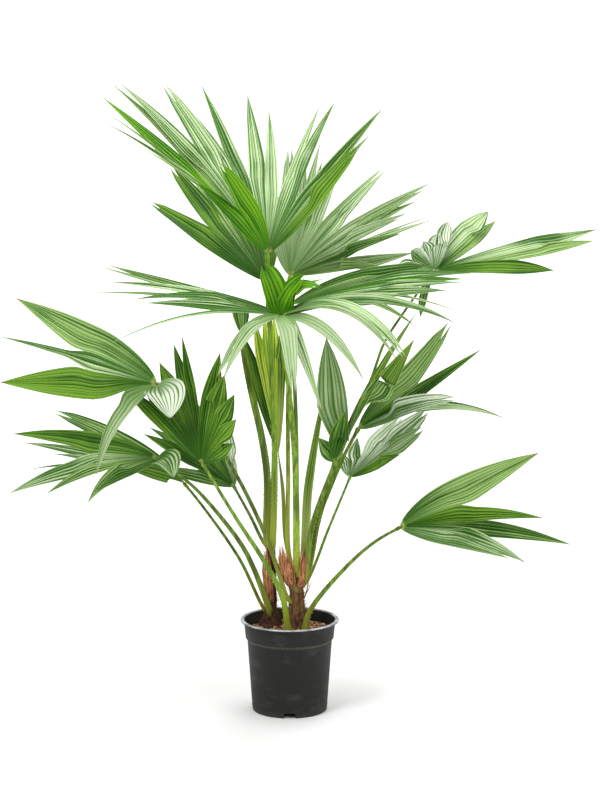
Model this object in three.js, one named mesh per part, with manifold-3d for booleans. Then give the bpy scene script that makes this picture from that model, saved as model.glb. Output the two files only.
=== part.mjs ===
// A fan palm in its nursery pot: two short fibrous stems, leafstalks that spread from them, and on each
// stalk a fan blade whose leaflets are joined round the hub and part further out.
// Millimetres, +Z up, +X to the right, -Y to the front. The origin is on the flat underside of the pot.
import * as THREE from 'three';
import { mergeVertices } from 'three/addons/utils/BufferGeometryUtils.js';
import Module from 'manifold-3d';

const wasm = await Module();
wasm.setup();

// ---- Driving dimensions ----
const GAP = 0.3;                   // clearance wherever two pieces meet
const WELD = 1e-3;                 // corners nearer than this are one

const POT_HEIGHT = 198;
const RIM_RADIUS = 105;            // outside of the lip, a 21 cm pot
const LIP_HEIGHT = 5;
const LIP_EDGE = 1;                // bevel of the lip's outer edges
const COLLAR_RADIUS = 98;          // outside, just under the lip
const COLLAR_HEIGHT = 36;
const COLLAR_STEP = 3;             // how far the foot of the collar stands out from the body
const BODY_RADIUS = 91;            // outside, just under the collar
const FOOT_RADIUS = 80;
const FOOT_ROUNDING = 3;
const WALL = 2;
const FLOOR = 3;
const DRAINS = 4;                  // notches round the foot
const DRAIN_WIDTH = 25;
const DRAIN_HEIGHT = 11;
const DRAIN_DEPTH = 16;
const POT_SIDES = 40;

const SOIL_TOP = 176;
const SOIL_SHOULDER = 14;          // bevel that leaves the drains free
const SOIL_FALL = 4;               // how far the surface drops toward the wall
const SOIL_SLOPE = 12;             // over this width

const STEM_SIDES = 14;
const STALK_SIDES = 6;
const STALK_STEPS = 9;
const STALK_CROWDING = 1.3;        // above 1, the steps lie closer together toward the foot
const STALK_NARROWING = 0.7;       // below 1, a stalk narrows mostly near its foot
const ROOTING = 14;                // a stalk starts this far below its foot, on the axis of its stem
const STALK_FLATNESS = 0.55;       // thickness of a stalk over its width
const SHEATH_FLATNESS = 0.3;
const TIP_TAPER = 1.5;             // above 1, a sheath or spear narrows mostly near its tip

const HUB_RADIUS = 8;              // bead where stalk and leaflets meet
const HUB_SIDES = 8;
const HUB_STEPS = 6;
const ROOT_RADIUS = 6;             // leaflets start this far from the middle of the hub
const BLADE_THICKNESS = 3.5;       // at least; a hundredth of the longest leaflet where that is more
const TIP_WIDTH = 3;
const JOINED_ROWS = 3;             // cross-sections of the joined part of a leaflet
const FREE_ROWS = [0.3, 0.6, 0.85, 1];
const WIDENING = 0.8;              // below 1, a leaflet widens mostly near its root
const TAPER = 1.7;                 // how late a leaflet narrows to its tip: higher is later
const TIP_THINNING = 0.4;
const PARTING = 1.25;              // leaflets part where they lie further apart than this times their width

const FRONT = [0, -1, 0];

const COLOURS = {
  pot: 0x33342f, soil: 0x5b4636, stem: 0x6b5138, sheath: 0x8a5a3c, stalk: 0x6f8f3c,
  blade: 0x5c8f4a, young: 0x9bb54a,
};

// Stems: foot and top on the axis, and radius at shares of the height, wide at the foot for the root flare.
const STEMS = {
  stem_left: {
    foot: [-40, 28], top: [-40, 26], height: 180,
    radii: [[0, 26], [0.08, 21], [0.2, 12], [0.6, 10], [1, 8]],
  },
  stem_right: {
    foot: [17, 12], top: [13, 8], height: 118,
    radii: [[0, 23], [0.12, 19], [0.5, 16], [1, 14]],
  },
};

// Old leaf bases, torn into papery fibre: path from the foot up, widths at foot, middle and tip, and the
// side they face.
const SHEATHS = {
  sheath_left: {
    path: [[-42, 18, 236], [-49, 6, 322], [-47, 4, 376]], widths: [16, 22, 8], faces: [-0.3, -1, 0],
  },
  sheath_middle: {
    path: [[2, -9, 278], [-9, -15, 326], [-18, -12, 378]], widths: [16, 34, 12], faces: [-0.3, -1, 0],
  },
  sheath_right: {
    path: [[25, -12, 278], [30, -19, 336], [36, -16, 386]], widths: [14, 18, 5], faces: [0.3, -1, 0],
  },
  sheath_low: {
    path: [[26, 2, 236], [36, -2, 269], [43, 0, 296]], widths: [8, 12, 3], faces: [1, -0.4, 0],
  },
};

// Fronds. stalk: its course from the stem to the hub; width: of the stalk at foot and hub; hub: where the
// leaflets meet; faces: the way the upper side looks; joined: share of their length over which leaflets are
// joined; leaflets: in order round the fan, each [x, y, z of the tip from the hub, width, rise of its arch,
// sweep], in sprays with an open gap between one spray and the next.
const FRONDS = {
  top: {
    stalk: [[-37, 14, 349], [-31, 0, 534], [-38, -31, 716], [-41, -48, 888]], width: [15, 8],
    hub: [-45, -56, 986], faces: [0, -0.8, 0.6], joined: 0.42,
    leaflets: [
      [[-252, -70, 222, 9, 16], [-263, -26, 229, 9, 16], [-335, 12, 268, 10, 23], [-335, 43, 287, 9, 16],
        [-340, 82, 314, 35, 9], [-323, 139, 337, 26, 16], [-307, 127, 341, 34, 19], [-223, 212, 337, 46, 10],
        [-188, 237, 299, 30, 21], [-143, 265, 329, 32, 9], [-46, 308, 308, 38, 7], [0, 307, 273, 30, 7, 6],
        [109, 281, 284, 20, 15], [141, 253, 294, 28, 17], [241, 180, 286, 31, 9], [227, 142, 271, 28, 9],
        [211, 84, 236, 34, 6], [185, 28, 214, 40, 1]],
      [[-138, -99, 152, 32, 6], [-92, -127, 191, 46, 12]],
    ],
  },
  behind_right: {
    stalk: [[-2, 12, 338], [-3, 31, 505], [-4, 59, 646], [-1, 81, 779]], width: [11, 8],
    hub: [0, 98, 921], faces: [-0.2, -0.8, 0.57], joined: 0.45,
    leaflets: [
      [[-46, 182, 176, 44, 2], [0, 210, 252, 46, 4], [35, 238, 231, 32, 6], [66, 238, 261, 25, 6],
        [71, 224, 226, 26, 6], [106, 224, 200, 38, 6], [203, 210, 211, 27, 12], [208, 189, 206, 30, 6],
        [304, 168, 181, 31, 12], [288, 140, 167, 30, 10], [273, 119, 147, 30, 10], [252, 84, 123, 32, 12],
        [232, 56, 114, 26, 10], [302, 28, 124, 7, 6], [297, 14, 115, 17, 6], [236, -14, 90, 30, 8],
        [261, -7, 49, 38, -2], [186, -21, 22, 36, 12]],
    ],
  },
  behind_left: {
    stalk: [[-42, 43, 348], [-34, 70, 522], [-39, 126, 691]], width: [12, 8],
    hub: [-51, 182, 898], faces: [0.25, -0.6, 0.76], joined: 0.5,
    leaflets: [
      [[-248, 56, 165, 58, 5], [-208, 126, 234, 50, -2], [-168, 168, 223, 42, 4], [-118, 196, 202, 40, 4],
        [-62, 210, 166, 42, 4], [5, 182, 146, 46, 2]],
    ],
  },
  front: {
    stalk: [[14, -8, 294], [12, -65, 547], [1, -115, 690]], width: [16, 10],
    hub: [-15, -154, 870], faces: [0, -0.55, 0.83], joined: 0.25,
    leaflets: [
      [[-334, -154, -33, 12, 30], [-271, -56, 32, 36, 8], [-297, -14, 35, 36, 22], [-382, 14, 44, 12, 14],
        [-348, 42, 63, 28, 14], [-378, 70, 92, 20, -2], [-354, 98, 91, 34, -3]],
      [[-111, -280, -86, 30, 38], [-124, -238, -88, 36, 31]],
      [[25, -350, -102, 40, 45], [79, -336, -141, 30, 50, 12]],
      [[159, -266, -87, 34, 37]],
      [[226, -182, -61, 24, 58], [246, -154, -67, 40, 62]],
      [[347, -42, -8, 34, 42]],
      [[-36, -11, 105, 54, 5]],
      [[46, -32, 84, 52, 12]],
      [[78, -34, 63, 48, 30], [85, 42, 68, 20, 18]],
    ],
  },
  right_low_fan: {
    stalk: [[12, 32, 318], [15, 37, 504], [12, 31, 664]], width: [11, 8],
    hub: [0, 14, 868], faces: [0, -0.75, 0.66], joined: 0.5,
    leaflets: [
      [[259, -106, -29, 18, 40], [229, -70, 15, 36, 8], [359, -70, -8, 8, 34], [324, -56, 38, 34, 10],
        [355, -35, 53, 26, 14], [365, -17, 57, 26, 16], [380, 0, 68, 32, 20], [301, 21, 78, 44, 16]],
    ],
  },
  far_right: {
    stalk: [[36, 18, 289], [62, 28, 403], [100, 43, 524], [175, 73, 707], [201, 81, 779], [243, 90, 844]],
    width: [11, 5],
    hub: [306, 98, 931], faces: [-0.2, -0.8, 0.57], joined: 0.8,
    leaflets: [
      [[-30, -44, -93, 18, 11], [-73, -40, -9, 20, 2], [-77, -37, 14, 30, 7], [-51, -19, 44, 36, 3],
        [-23, -5, 62, 36, 3], [8, 18, 77, 37, 4], [31, 50, 99, 36, 3]],
      [[121, 96, 117, 54, 5], [137, 106, 94, 33, -1]],
      [[354, 98, 78, 42, -1], [345, 56, 57, 32, 3]],
      [[251, -27, 4, 34, 8]],
    ],
  },
  young_centre: {
    stalk: [[-8, 27, 357], [-15, 25, 477]], width: [8, 8],
    hub: [-24, 19, 553], faces: [0, -1, 0.1], joined: 0.7, young: true,
    leaflets: [
      [[-74, 45, 246, 26, 0], [-50, 32, 280, 24, 0], [-30, 22, 290, 22, 0], [-9, 14, 290, 24, 0],
        [5, 8, 262, 24, 0]],
    ],
  },
  young_left: {
    stalk: [[-47, 27, 354], [-48, 24, 506], [-60, 18, 592], [-79, 12, 679], [-92, 6, 749]],
    width: [17, 15],
    hub: [-99, 0, 806], faces: [-0.3, -1, 0.1], joined: 0.7, young: true,
    leaflets: [[[-19, 0, 61, 13, 0], [-5, 4, 67, 19, 0], [10, 4, 60, 17, 0]]],
  },
  left_upper: {
    stalk: [
      [-4, -14, 244], [-25, -14, 308], [-53, -13, 387], [-104, -10, 496], [-142, 0, 560], [-211, 40, 643],
      [-267, 26, 695],
    ],
    width: [12, 6],
    hub: [-274, -81, 718], faces: [0.2, -0.87, 0.45], joined: 0.4,
    leaflets: [
      [[-117, -120, -168, 28, 36], [-323, 0, 2, 76, 2], [-330, 42, 93, 18, 6], [-296, 84, 166, 74, 5]],
      [[31, -70, -61, 84, 26]],
    ],
  },
  left_front: {
    stalk: [[-3, -22, 172], [-15, -40, 254], [-52, -59, 334], [-111, -84, 434]], width: [15, 6],
    hub: [-180, -104, 555], faces: [0.2, -1, 0.4], joined: 0.58,
    leaflets: [
      [[-177, 110, 150, 30, 4], [-137, 117, 174, 48, 4], [-92, 103, 195, 52, 4], [-61, 82, 236, 30, 2],
        [-42, 54, 257, 22, 0]],
      [[38, -2, 230, 40, 4], [48, -37, 191, 50, 4], [68, -51, 152, 44, 2], [72, -44, 100, 38, 2],
        [64, -23, 45, 30, 0]],
    ],
  },
  left_middle: {
    stalk: [[-42, 8, 210], [-75, -8, 306], [-103, -15, 364], [-188, -45, 480], [-233, -60, 524]],
    width: [16, 6],
    hub: [-274, -69, 558], faces: [0.2, -0.8, 0.57], joined: 0.4,
    leaflets: [
      [[-124, -101, -52, 34, 12], [-140, -68, -78, 32, 23], [-230, -18, -71, 26, 21], [-309, 18, -77, 42, 19],
        [-306, 57, 42, 44, 13]],
      [[36, -63, -27, 63, 21]],
    ],
  },
  left_low_back: {
    stalk: [[-55, 34, 210], [-107, 42, 317], [-182, 62, 423]], width: [9, 6],
    hub: [-226, 75, 476], faces: [0.2, -0.8, 0.57], joined: 0.4,
    leaflets: [
      [[-125, -22, 40, 30, 4], [-331, 4, 29, 10, 24], [-282, 34, 58, 20, 10], [-348, 63, 76, 28, 12],
        [-284, 93, 140, 44, 14]],
    ],
  },
  left_back: {
    stalk: [[-55, 41, 353], [-85, 87, 402]], width: [9, 6],
    hub: [-121, 146, 454], faces: [0.2, -0.8, 0.55], joined: 0.5,
    leaflets: [
      [[-161, -3, 43, 28, 2], [-198, 62, 104, 34, 6], [-188, 105, 112, 32, 6], [-138, 148, 140, 32, 4],
        [-93, 176, 164, 30, 2], [-47, 176, 149, 30, 2], [-19, 148, 120, 28, 2], [-9, 96, 65, 22, 0]],
    ],
  },
  right_low: {
    stalk: [[30, -22, 172], [43, -30, 222], [126, -53, 330], [181, -73, 383]], width: [14, 6],
    hub: [230, -90, 416], faces: [-0.2, -0.85, 0.5], joined: 0.35,
    leaflets: [
      [[289, 35, 151, 68, 6], [299, 21, 15, 36, 18], [360, 48, -47, 40, 16], [255, -55, -61, 42, 20],
        [219, -89, -45, 34, 6]],
    ],
  },
  right_front: {
    stalk: [[30, -12, 284], [47, -36, 405]], width: [14, 9],
    hub: [95, -110, 560], faces: [-0.2, -1, 0.2], joined: 0.4,
    leaflets: [
      [[-34, 12, 47, 34, 0], [-19, -19, 260, 64, 3]],
      [[19, -60, 114, 42, 4], [160, -12, 255, 56, 1], [165, -3, 310, 18, 10]],
    ],
  },
  right_middle: {
    stalk: [[34, 10, 284], [58, 9, 404], [83, 7, 472], [116, 4, 552]], width: [12, 8],
    hub: [145, 0, 609], faces: [-0.3, -0.8, 0.52], joined: 0.35,
    leaflets: [
      [[191, 42, 218, 58, -10], [261, 70, 157, 34, -2], [311, 56, 12, 26, 38], [198, -98, 80, 46, 16]],
    ],
  },
  right_back: {
    stalk: [[34, 24, 268], [86, 56, 388]], width: [8, 5],
    hub: [130, 102, 485], faces: [-0.2, -0.85, 0.5], joined: 0.5,
    leaflets: [
      [[-20, -7, 54, 26, 0], [16, 51, 76, 30, 0], [112, 94, 112, 40, 8], [167, 66, 131, 56, 0],
        [157, 24, 102, 44, 0], [106, -20, 52, 30, 4]],
    ],
  },
};

// The newest leaf, still closed into a spear.
const SPEAR = { path: [[26, 1, 298], [39, -13, 480], [58, -20, 609], [76, -22, 703]], widths: [19, 19, 4] };

// ---- Solids and how they are joined and cut ----
const vector = ([x, y, z]) => new THREE.Vector3(x, y, z);
const lerp = THREE.MathUtils.lerp;

function solid(geometry) {
  const shape = geometry.clone();
  shape.deleteAttribute('normal');
  shape.deleteAttribute('uv');
  const merged = mergeVertices(shape.index ? shape.toNonIndexed() : shape, WELD);
  return new wasm.Manifold(new wasm.Mesh({
    numProp: 3,
    vertProperties: new Float32Array(merged.attributes.position.array),
    triVerts: new Uint32Array(merged.index.array),
  }));
}

function surface(manifold) {
  const mesh = manifold.getMesh();
  const geometry = new THREE.BufferGeometry();
  geometry.setAttribute('position', new THREE.BufferAttribute(mesh.vertProperties, 3));
  geometry.setIndex(new THREE.BufferAttribute(mesh.triVerts, 1));
  return geometry;
}

// The largest body of a solid. Scraps that a cut leaves are dropped, and so are the walls of a sealed
// hollow.
// Welding can pinch off another scrap, so it goes on until nothing changes.
function largest(manifold) {
  let body = manifold;
  let before = 0;
  while (body.numTri() !== before) {
    before = body.numTri();
    [body] = solid(surface(body)).decompose().sort((a, b) => b.volume() - a.volume());
  }
  return body;
}

// A closed skin over rings with the same number of corners. The diagonals on the far half of each ring run
// the other way, so that two skins that share a wall meet triangle on triangle.
function skin(rings) {
  const corners = rings[0].length;
  const positions = rings.flat().flatMap((p) => [p.x, p.y, p.z]);
  const faces = [];
  for (let r = 0; r + 1 < rings.length; r += 1) {
    for (let c = 0; c < corners; c += 1) {
      const a = r * corners + c;
      const b = r * corners + (c + 1) % corners;
      const [d, e] = [a + corners, b + corners];
      faces.push(...(c < corners / 2 ? [a, b, e, a, e, d] : [a, b, d, b, e, d]));
    }
  }
  const last = (rings.length - 1) * corners;
  for (let c = 1; c + 1 < corners; c += 1) {
    faces.push(0, c + 1, c, last, last + c, last + c + 1);
  }
  const geometry = new THREE.BufferGeometry();
  geometry.setAttribute('position', new THREE.Float32BufferAttribute(positions, 3));
  geometry.setIndex(faces);
  return geometry;
}

// ---- Pot and soil ----
function turned(profile) {
  const points = profile.map(([radius, height]) => new THREE.Vector2(radius, height));
  return solid(new THREE.LatheGeometry(points, POT_SIDES).rotateX(Math.PI / 2));
}

const lipFoot = POT_HEIGHT - LIP_HEIGHT;
const collarFoot = lipFoot - COLLAR_HEIGHT;
const collarFootRadius = BODY_RADIUS + COLLAR_STEP;

function pot() {
  const body = turned([
    [0, 0], [FOOT_RADIUS - FOOT_ROUNDING, 0], [FOOT_RADIUS, FOOT_ROUNDING],
    [BODY_RADIUS, collarFoot], [collarFootRadius, collarFoot + WALL],
    [COLLAR_RADIUS, lipFoot], [RIM_RADIUS, lipFoot + LIP_EDGE],
    [RIM_RADIUS, POT_HEIGHT - LIP_EDGE], [RIM_RADIUS - LIP_EDGE, POT_HEIGHT],
    [COLLAR_RADIUS, POT_HEIGHT], [COLLAR_RADIUS - WALL, lipFoot],
    [collarFootRadius - WALL, collarFoot + WALL], [BODY_RADIUS - WALL, collarFoot - WALL],
    [FOOT_RADIUS - WALL, FLOOR], [0, FLOOR],
  ]);
  const notches = [];
  for (let k = 0; k < DRAINS; k += 1) {
    const notch = new THREE.BoxGeometry(DRAIN_WIDTH, 2 * DRAIN_DEPTH, 2 * DRAIN_HEIGHT)
      .translate(0, -FOOT_RADIUS, 0).rotateZ((k * 2 * Math.PI) / DRAINS);
    notches.push(solid(notch));
  }
  return largest(body.subtract(wasm.Manifold.union(notches)));
}

function soil(clearance) {
  const waist = collarFoot - WALL;
  const inner = (height) => {
    const share = (height - FLOOR) / (waist - FLOOR);
    return lerp(FOOT_RADIUS, BODY_RADIUS, share) - WALL - GAP;
  };
  const top = SOIL_TOP + clearance;
  const shoulder = FLOOR + SOIL_SHOULDER;
  const edge = collarFootRadius - WALL - GAP;
  return turned([
    [0, FLOOR + GAP], [inner(FLOOR) - SOIL_SHOULDER, FLOOR + GAP], [inner(shoulder), shoulder],
    [inner(waist), waist], [edge, collarFoot + WALL], [edge, top - SOIL_FALL], [edge - SOIL_SLOPE, top],
    [0, top],
  ]);
}

// ---- Stems, stalks and sheaths ----
function stem({ foot, top, height, radii }, clearance = 0) {
  const base = SOIL_TOP + GAP;
  const heightAt = (share) => share * height + (share === 1 ? clearance : 0);
  const side = radii.map(([share, radius]) => [radius + clearance, heightAt(share)]);
  const points = [[0, 0], ...side, [0, heightAt(1)]].map(([radius, z]) => new THREE.Vector2(radius, z));
  const geometry = new THREE.LatheGeometry(points, STEM_SIDES).rotateX(Math.PI / 2);
  const [leanX, leanY] = [(top[0] - foot[0]) / height, (top[1] - foot[1]) / height];
  const lean = new THREE.Matrix4().makeShear(0, 0, 0, 0, leanX, leanY);
  return solid(geometry.applyMatrix4(lean).translate(foot[0], foot[1], base));
}

// A tapering limb with a flattened oval section: across its course it lies square to the side it faces.
function limb(path, widthAt, flatness, faces, clearance = 0) {
  const curve = new THREE.CatmullRomCurve3(path.map(vector), false, 'centripetal');
  const facing = vector(faces).normalize();
  const rings = [];
  for (let k = 0; k <= STALK_STEPS; k += 1) {
    const share = (k / STALK_STEPS) ** STALK_CROWDING;
    const middle = curve.getPointAt(share);
    const along = curve.getTangentAt(share);
    if (k === 0) middle.addScaledVector(along, -clearance);
    if (k === STALK_STEPS) middle.addScaledVector(along, clearance);
    const across = new THREE.Vector3().crossVectors(facing, along).normalize();
    const up = new THREE.Vector3().crossVectors(along, across);
    const half = widthAt(share) / 2;
    rings.push(Array.from({ length: STALK_SIDES }, (_, c) => {
      const angle = ((c + 0.5) / STALK_SIDES) * 2 * Math.PI;
      return middle.clone()
        .addScaledVector(across, Math.cos(angle) * (half + clearance))
        .addScaledVector(up, Math.sin(angle) * (half * flatness + clearance));
    }));
  }
  return solid(skin(rings));
}

// The stem that a stalk springs from is the one whose axis is nearest its foot, unless it rises from the
// soil.
function rooted(course) {
  const [x, y, z] = course[0];
  if (z < SOIL_TOP) return course;
  const distance = ({ top }) => Math.hypot(top[0] - x, top[1] - y);
  const { top, height } = Object.values(STEMS).sort((a, b) => distance(a) - distance(b))[0];
  return [[...top, Math.min(z, SOIL_TOP + height) - ROOTING], ...course];
}

function bead(hub, clearance = 0) {
  const ball = new THREE.SphereGeometry(HUB_RADIUS + clearance, HUB_SIDES, HUB_STEPS);
  return solid(ball.rotateX(Math.PI / 2).translate(...hub));
}

function stalk({ stalk: course, hub, width, faces }, clearance = 0) {
  const end = vector(hub);
  const last = vector(course[course.length - 1]);
  end.addScaledVector(last.sub(end).normalize(), HUB_RADIUS / 2);
  const widthAt = (share) => lerp(width[0], width[1], share ** STALK_NARROWING);
  const whole = limb([...rooted(course), end.toArray()], widthAt, STALK_FLATNESS, faces, clearance);
  return whole.subtract(bead(hub, GAP));
}

function tapered([foot, middle, tip]) {
  return (share) => (
    share < 0.5 ? lerp(foot, middle, 2 * share) : lerp(middle, tip, (2 * share - 1) ** TIP_TAPER)
  );
}

// ---- Fan blades ----
// A leaflet's course is an arch from the hub to its tip, raised and swept to its right at the middle.
function arch(hub, [x, y, z, , rise, sweep = 0]) {
  const tip = new THREE.Vector3(x, y, z);
  const chord = tip.clone().normalize();
  const up = new THREE.Vector3(0, 0, 1).addScaledVector(chord, -chord.z).normalize();
  const right = new THREE.Vector3().crossVectors(chord, up);
  const knee = tip.clone().multiplyScalar(0.5);
  knee.addScaledVector(up, 2 * rise).addScaledVector(right, 2 * sweep);
  return new THREE.QuadraticBezierCurve3(hub.clone(), hub.clone().add(knee), hub.clone().add(tip));
}

// The cross-sections of one leaflet: for each, its middle, its upward side and the way toward the next
// leaflet.
function sections(frond, leaflet, onward) {
  const hub = vector(frond.hub);
  const curve = arch(hub, leaflet);
  const facing = vector(frond.faces).normalize();
  const start = ROOT_RADIUS / curve.getLength();
  const shares = [];
  for (let k = 0; k < JOINED_ROWS; k += 1) {
    shares.push(lerp(start, frond.joined, k / (JOINED_ROWS - 1)));
  }
  for (const free of FREE_ROWS) shares.push(lerp(frond.joined, 1, free));
  return shares.map((share, row) => {
    const along = curve.getTangentAt(share);
    const across = new THREE.Vector3().crossVectors(along, facing).normalize();
    if (across.dot(onward) < 0) across.negate();
    const up = facing.clone().addScaledVector(along, -facing.dot(along)).normalize();
    const free = row < JOINED_ROWS ? 0 : FREE_ROWS[row - JOINED_ROWS];
    const spread = Math.sin((Math.min(1, share / frond.joined) * Math.PI) / 2) ** WIDENING;
    const half = Math.max(TIP_WIDTH / 2, (leaflet[3] / 2) * spread * (1 - free ** TAPER));
    return { middle: curve.getPointAt(share), across, up, half };
  });
}

// Leaflets of one spray. Neighbours share their edge as far as they are joined and near each other.
function spray(frond, leaflets, thickness) {
  const tips = leaflets.map(vector);
  const parts = leaflets.map((leaflet, k) => {
    const onward = tips[Math.min(k + 1, tips.length - 1)].clone().sub(tips[Math.max(k - 1, 0)]);
    return sections(frond, leaflet, onward);
  });
  const joinedTo = parts.map((rows, k) => {
    if (k + 1 === parts.length) return 0;
    const reach = (PARTING * (leaflets[k][3] + leaflets[k + 1][3])) / 2;
    let row = 0;
    while (row < JOINED_ROWS && rows[row].middle.distanceTo(parts[k + 1][row].middle) < reach) row += 1;
    return row;
  });
  const edge = (k, row, side) => {
    const here = parts[k][row];
    const other = k + side;
    const shared = other >= 0 && other < parts.length && row < joinedTo[Math.min(k, other)];
    if (shared) {
      const there = parts[other][row];
      const up = here.up.clone().add(there.up).normalize();
      return { at: here.middle.clone().lerp(there.middle, 0.5), up };
    }
    return { at: here.middle.clone().addScaledVector(here.across, side * here.half), up: here.up };
  };
  return parts.map((rows, k) => {
    const rings = rows.map((_, row) => {
      const half = (row === rows.length - 1 ? TIP_THINNING : 1) * (thickness / 2);
      const [before, after] = [edge(k, row, -1), edge(k, row, 1)];
      const lifted = ({ at, up }, height) => at.clone().addScaledVector(up, height);
      return [lifted(before, half), lifted(after, half), lifted(after, -half), lifted(before, -half)];
    });
    const [a, b] = [rings[0][0], rings[0][1]];
    const onward = rows[1].middle.clone().sub(rows[0].middle);
    const turn = b.clone().sub(a).cross(rings[0][3].clone().sub(a)).dot(onward);
    return solid(skin(turn > 0 ? rings : rings.map((ring) => [ring[1], ring[0], ring[3], ring[2]])));
  });
}

function blade(frond) {
  const longest = Math.max(...frond.leaflets.flat().map((leaflet) => vector(leaflet).length()));
  const thickness = Math.max(BLADE_THICKNESS, longest / 100);
  const leaflets = frond.leaflets.flatMap((spread) => spray(frond, spread, thickness));
  return largest(wasm.Manifold.union([bead(frond.hub), ...leaflets]));
}

// ---- Assembly ----
const plant = new THREE.Group();

function add(name, manifold, colour, roughness) {
  const material = new THREE.MeshStandardMaterial({ color: colour, roughness, metalness: 0 });
  const mesh = new THREE.Mesh(surface(manifold), material);
  mesh.name = name;
  plant.add(mesh);
}

add('pot', pot(), COLOURS.pot, 0.75);
add('soil', soil(0), COLOURS.soil, 0.95);
for (const [name, shape] of Object.entries(STEMS)) add(name, stem(shape), COLOURS.stem, 0.9);

// Stalks crowd together where they leave the stems. The foremost are whole, the others are cut clear of
// them.
const spear = { foremost: SPEAR.path[0][1], name: 'spear' };
spear.grown = (clearance) => (
  limb(rooted(SPEAR.path), tapered(SPEAR.widths), STALK_FLATNESS, FRONT, clearance)
);
const limbs = Object.entries(FRONDS).map(([name, frond]) => ({
  name: `stalk_${name}`, foremost: frond.stalk[0][1], grown: (clearance) => stalk(frond, clearance),
}));
limbs.push(spear);
limbs.sort((a, b) => a.foremost - b.foremost);

const stems = Object.values(STEMS).map((shape) => stem(shape, GAP));
let taken = wasm.Manifold.union([soil(GAP), ...stems]);
for (const { name, grown } of limbs) {
  add(name, largest(grown(0).subtract(taken)), COLOURS.stalk, 0.5);
  taken = taken.add(grown(GAP));
}
for (const [name, { path, widths, faces }] of Object.entries(SHEATHS)) {
  const sheath = limb(path, tapered(widths), SHEATH_FLATNESS, faces);
  add(name, largest(sheath.subtract(taken)), COLOURS.sheath, 0.85);
}
for (const [name, frond] of Object.entries(FRONDS)) {
  add(`blade_${name}`, blade(frond), frond.young ? COLOURS.young : COLOURS.blade, 0.4);
}

export default plant;
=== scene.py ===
"""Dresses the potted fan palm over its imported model.

Tables of the plant are in millimetres and meshes in metres: +Z up, +X to the right, -Y to the front, with
the origin on the flat underside of the pot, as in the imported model.
"""
import logging
import math
from dataclasses import dataclass, field
from enum import Enum
from typing import Any, NamedTuple, Sequence

import bmesh
import bpy
import numpy as np
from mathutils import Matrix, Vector, noise


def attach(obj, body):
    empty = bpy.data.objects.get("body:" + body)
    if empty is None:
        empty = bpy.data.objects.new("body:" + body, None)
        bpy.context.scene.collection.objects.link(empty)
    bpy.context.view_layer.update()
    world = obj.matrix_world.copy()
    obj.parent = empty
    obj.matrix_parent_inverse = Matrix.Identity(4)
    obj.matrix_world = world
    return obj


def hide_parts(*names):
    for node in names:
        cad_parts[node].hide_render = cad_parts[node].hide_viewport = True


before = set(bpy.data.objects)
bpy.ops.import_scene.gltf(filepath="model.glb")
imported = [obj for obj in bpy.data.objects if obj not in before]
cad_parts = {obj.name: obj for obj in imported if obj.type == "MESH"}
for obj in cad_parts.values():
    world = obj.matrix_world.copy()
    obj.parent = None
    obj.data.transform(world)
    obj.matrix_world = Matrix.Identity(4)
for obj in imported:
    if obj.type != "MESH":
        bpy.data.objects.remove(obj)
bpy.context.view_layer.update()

LOG = logging.getLogger("fan_palm")
MM = 0.001
ROOT = "root"
LEAF_MARKS = "leaf_marks"                      # a corner's pleat, share of the leaflet's length, and leaflet
COURSE = "course"                              # a stalk's share of its length

Colour = tuple[float, float, float, float]
Socket = bpy.types.NodeSocket
Material = bpy.types.Material
Piece = bpy.types.Object


def paint(red: int, green: int, blue: int) -> Colour:
    """Turns a paint chip's values, 0 to 255, into a linear colour.

    Args:
        red, green, blue: The chip's values.

    Returns:
        The colour as the shader sockets take it.
    """
    def linear(value: int) -> float:
        share = value / 255
        return share / 12.92 if share <= 0.04045 else ((share + 0.055) / 1.055) ** 2.4

    return linear(red), linear(green), linear(blue), 1.0


def unit(rows: np.ndarray) -> np.ndarray:
    """Returns the rows scaled to length one."""
    return rows / np.maximum(np.linalg.norm(rows, axis=-1, keepdims=True), 1e-12)


def mixed(start: Any, end: Any, share: Any) -> Any:
    """Returns the value that lies this share of the way from start to end."""
    return start + (end - start) * share


def eased(share: np.ndarray) -> np.ndarray:
    """Returns the share, held within 0 and 1, with a soft start and end."""
    held = np.clip(share, 0, 1)
    return held * held * (3 - 2 * held)


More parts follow.
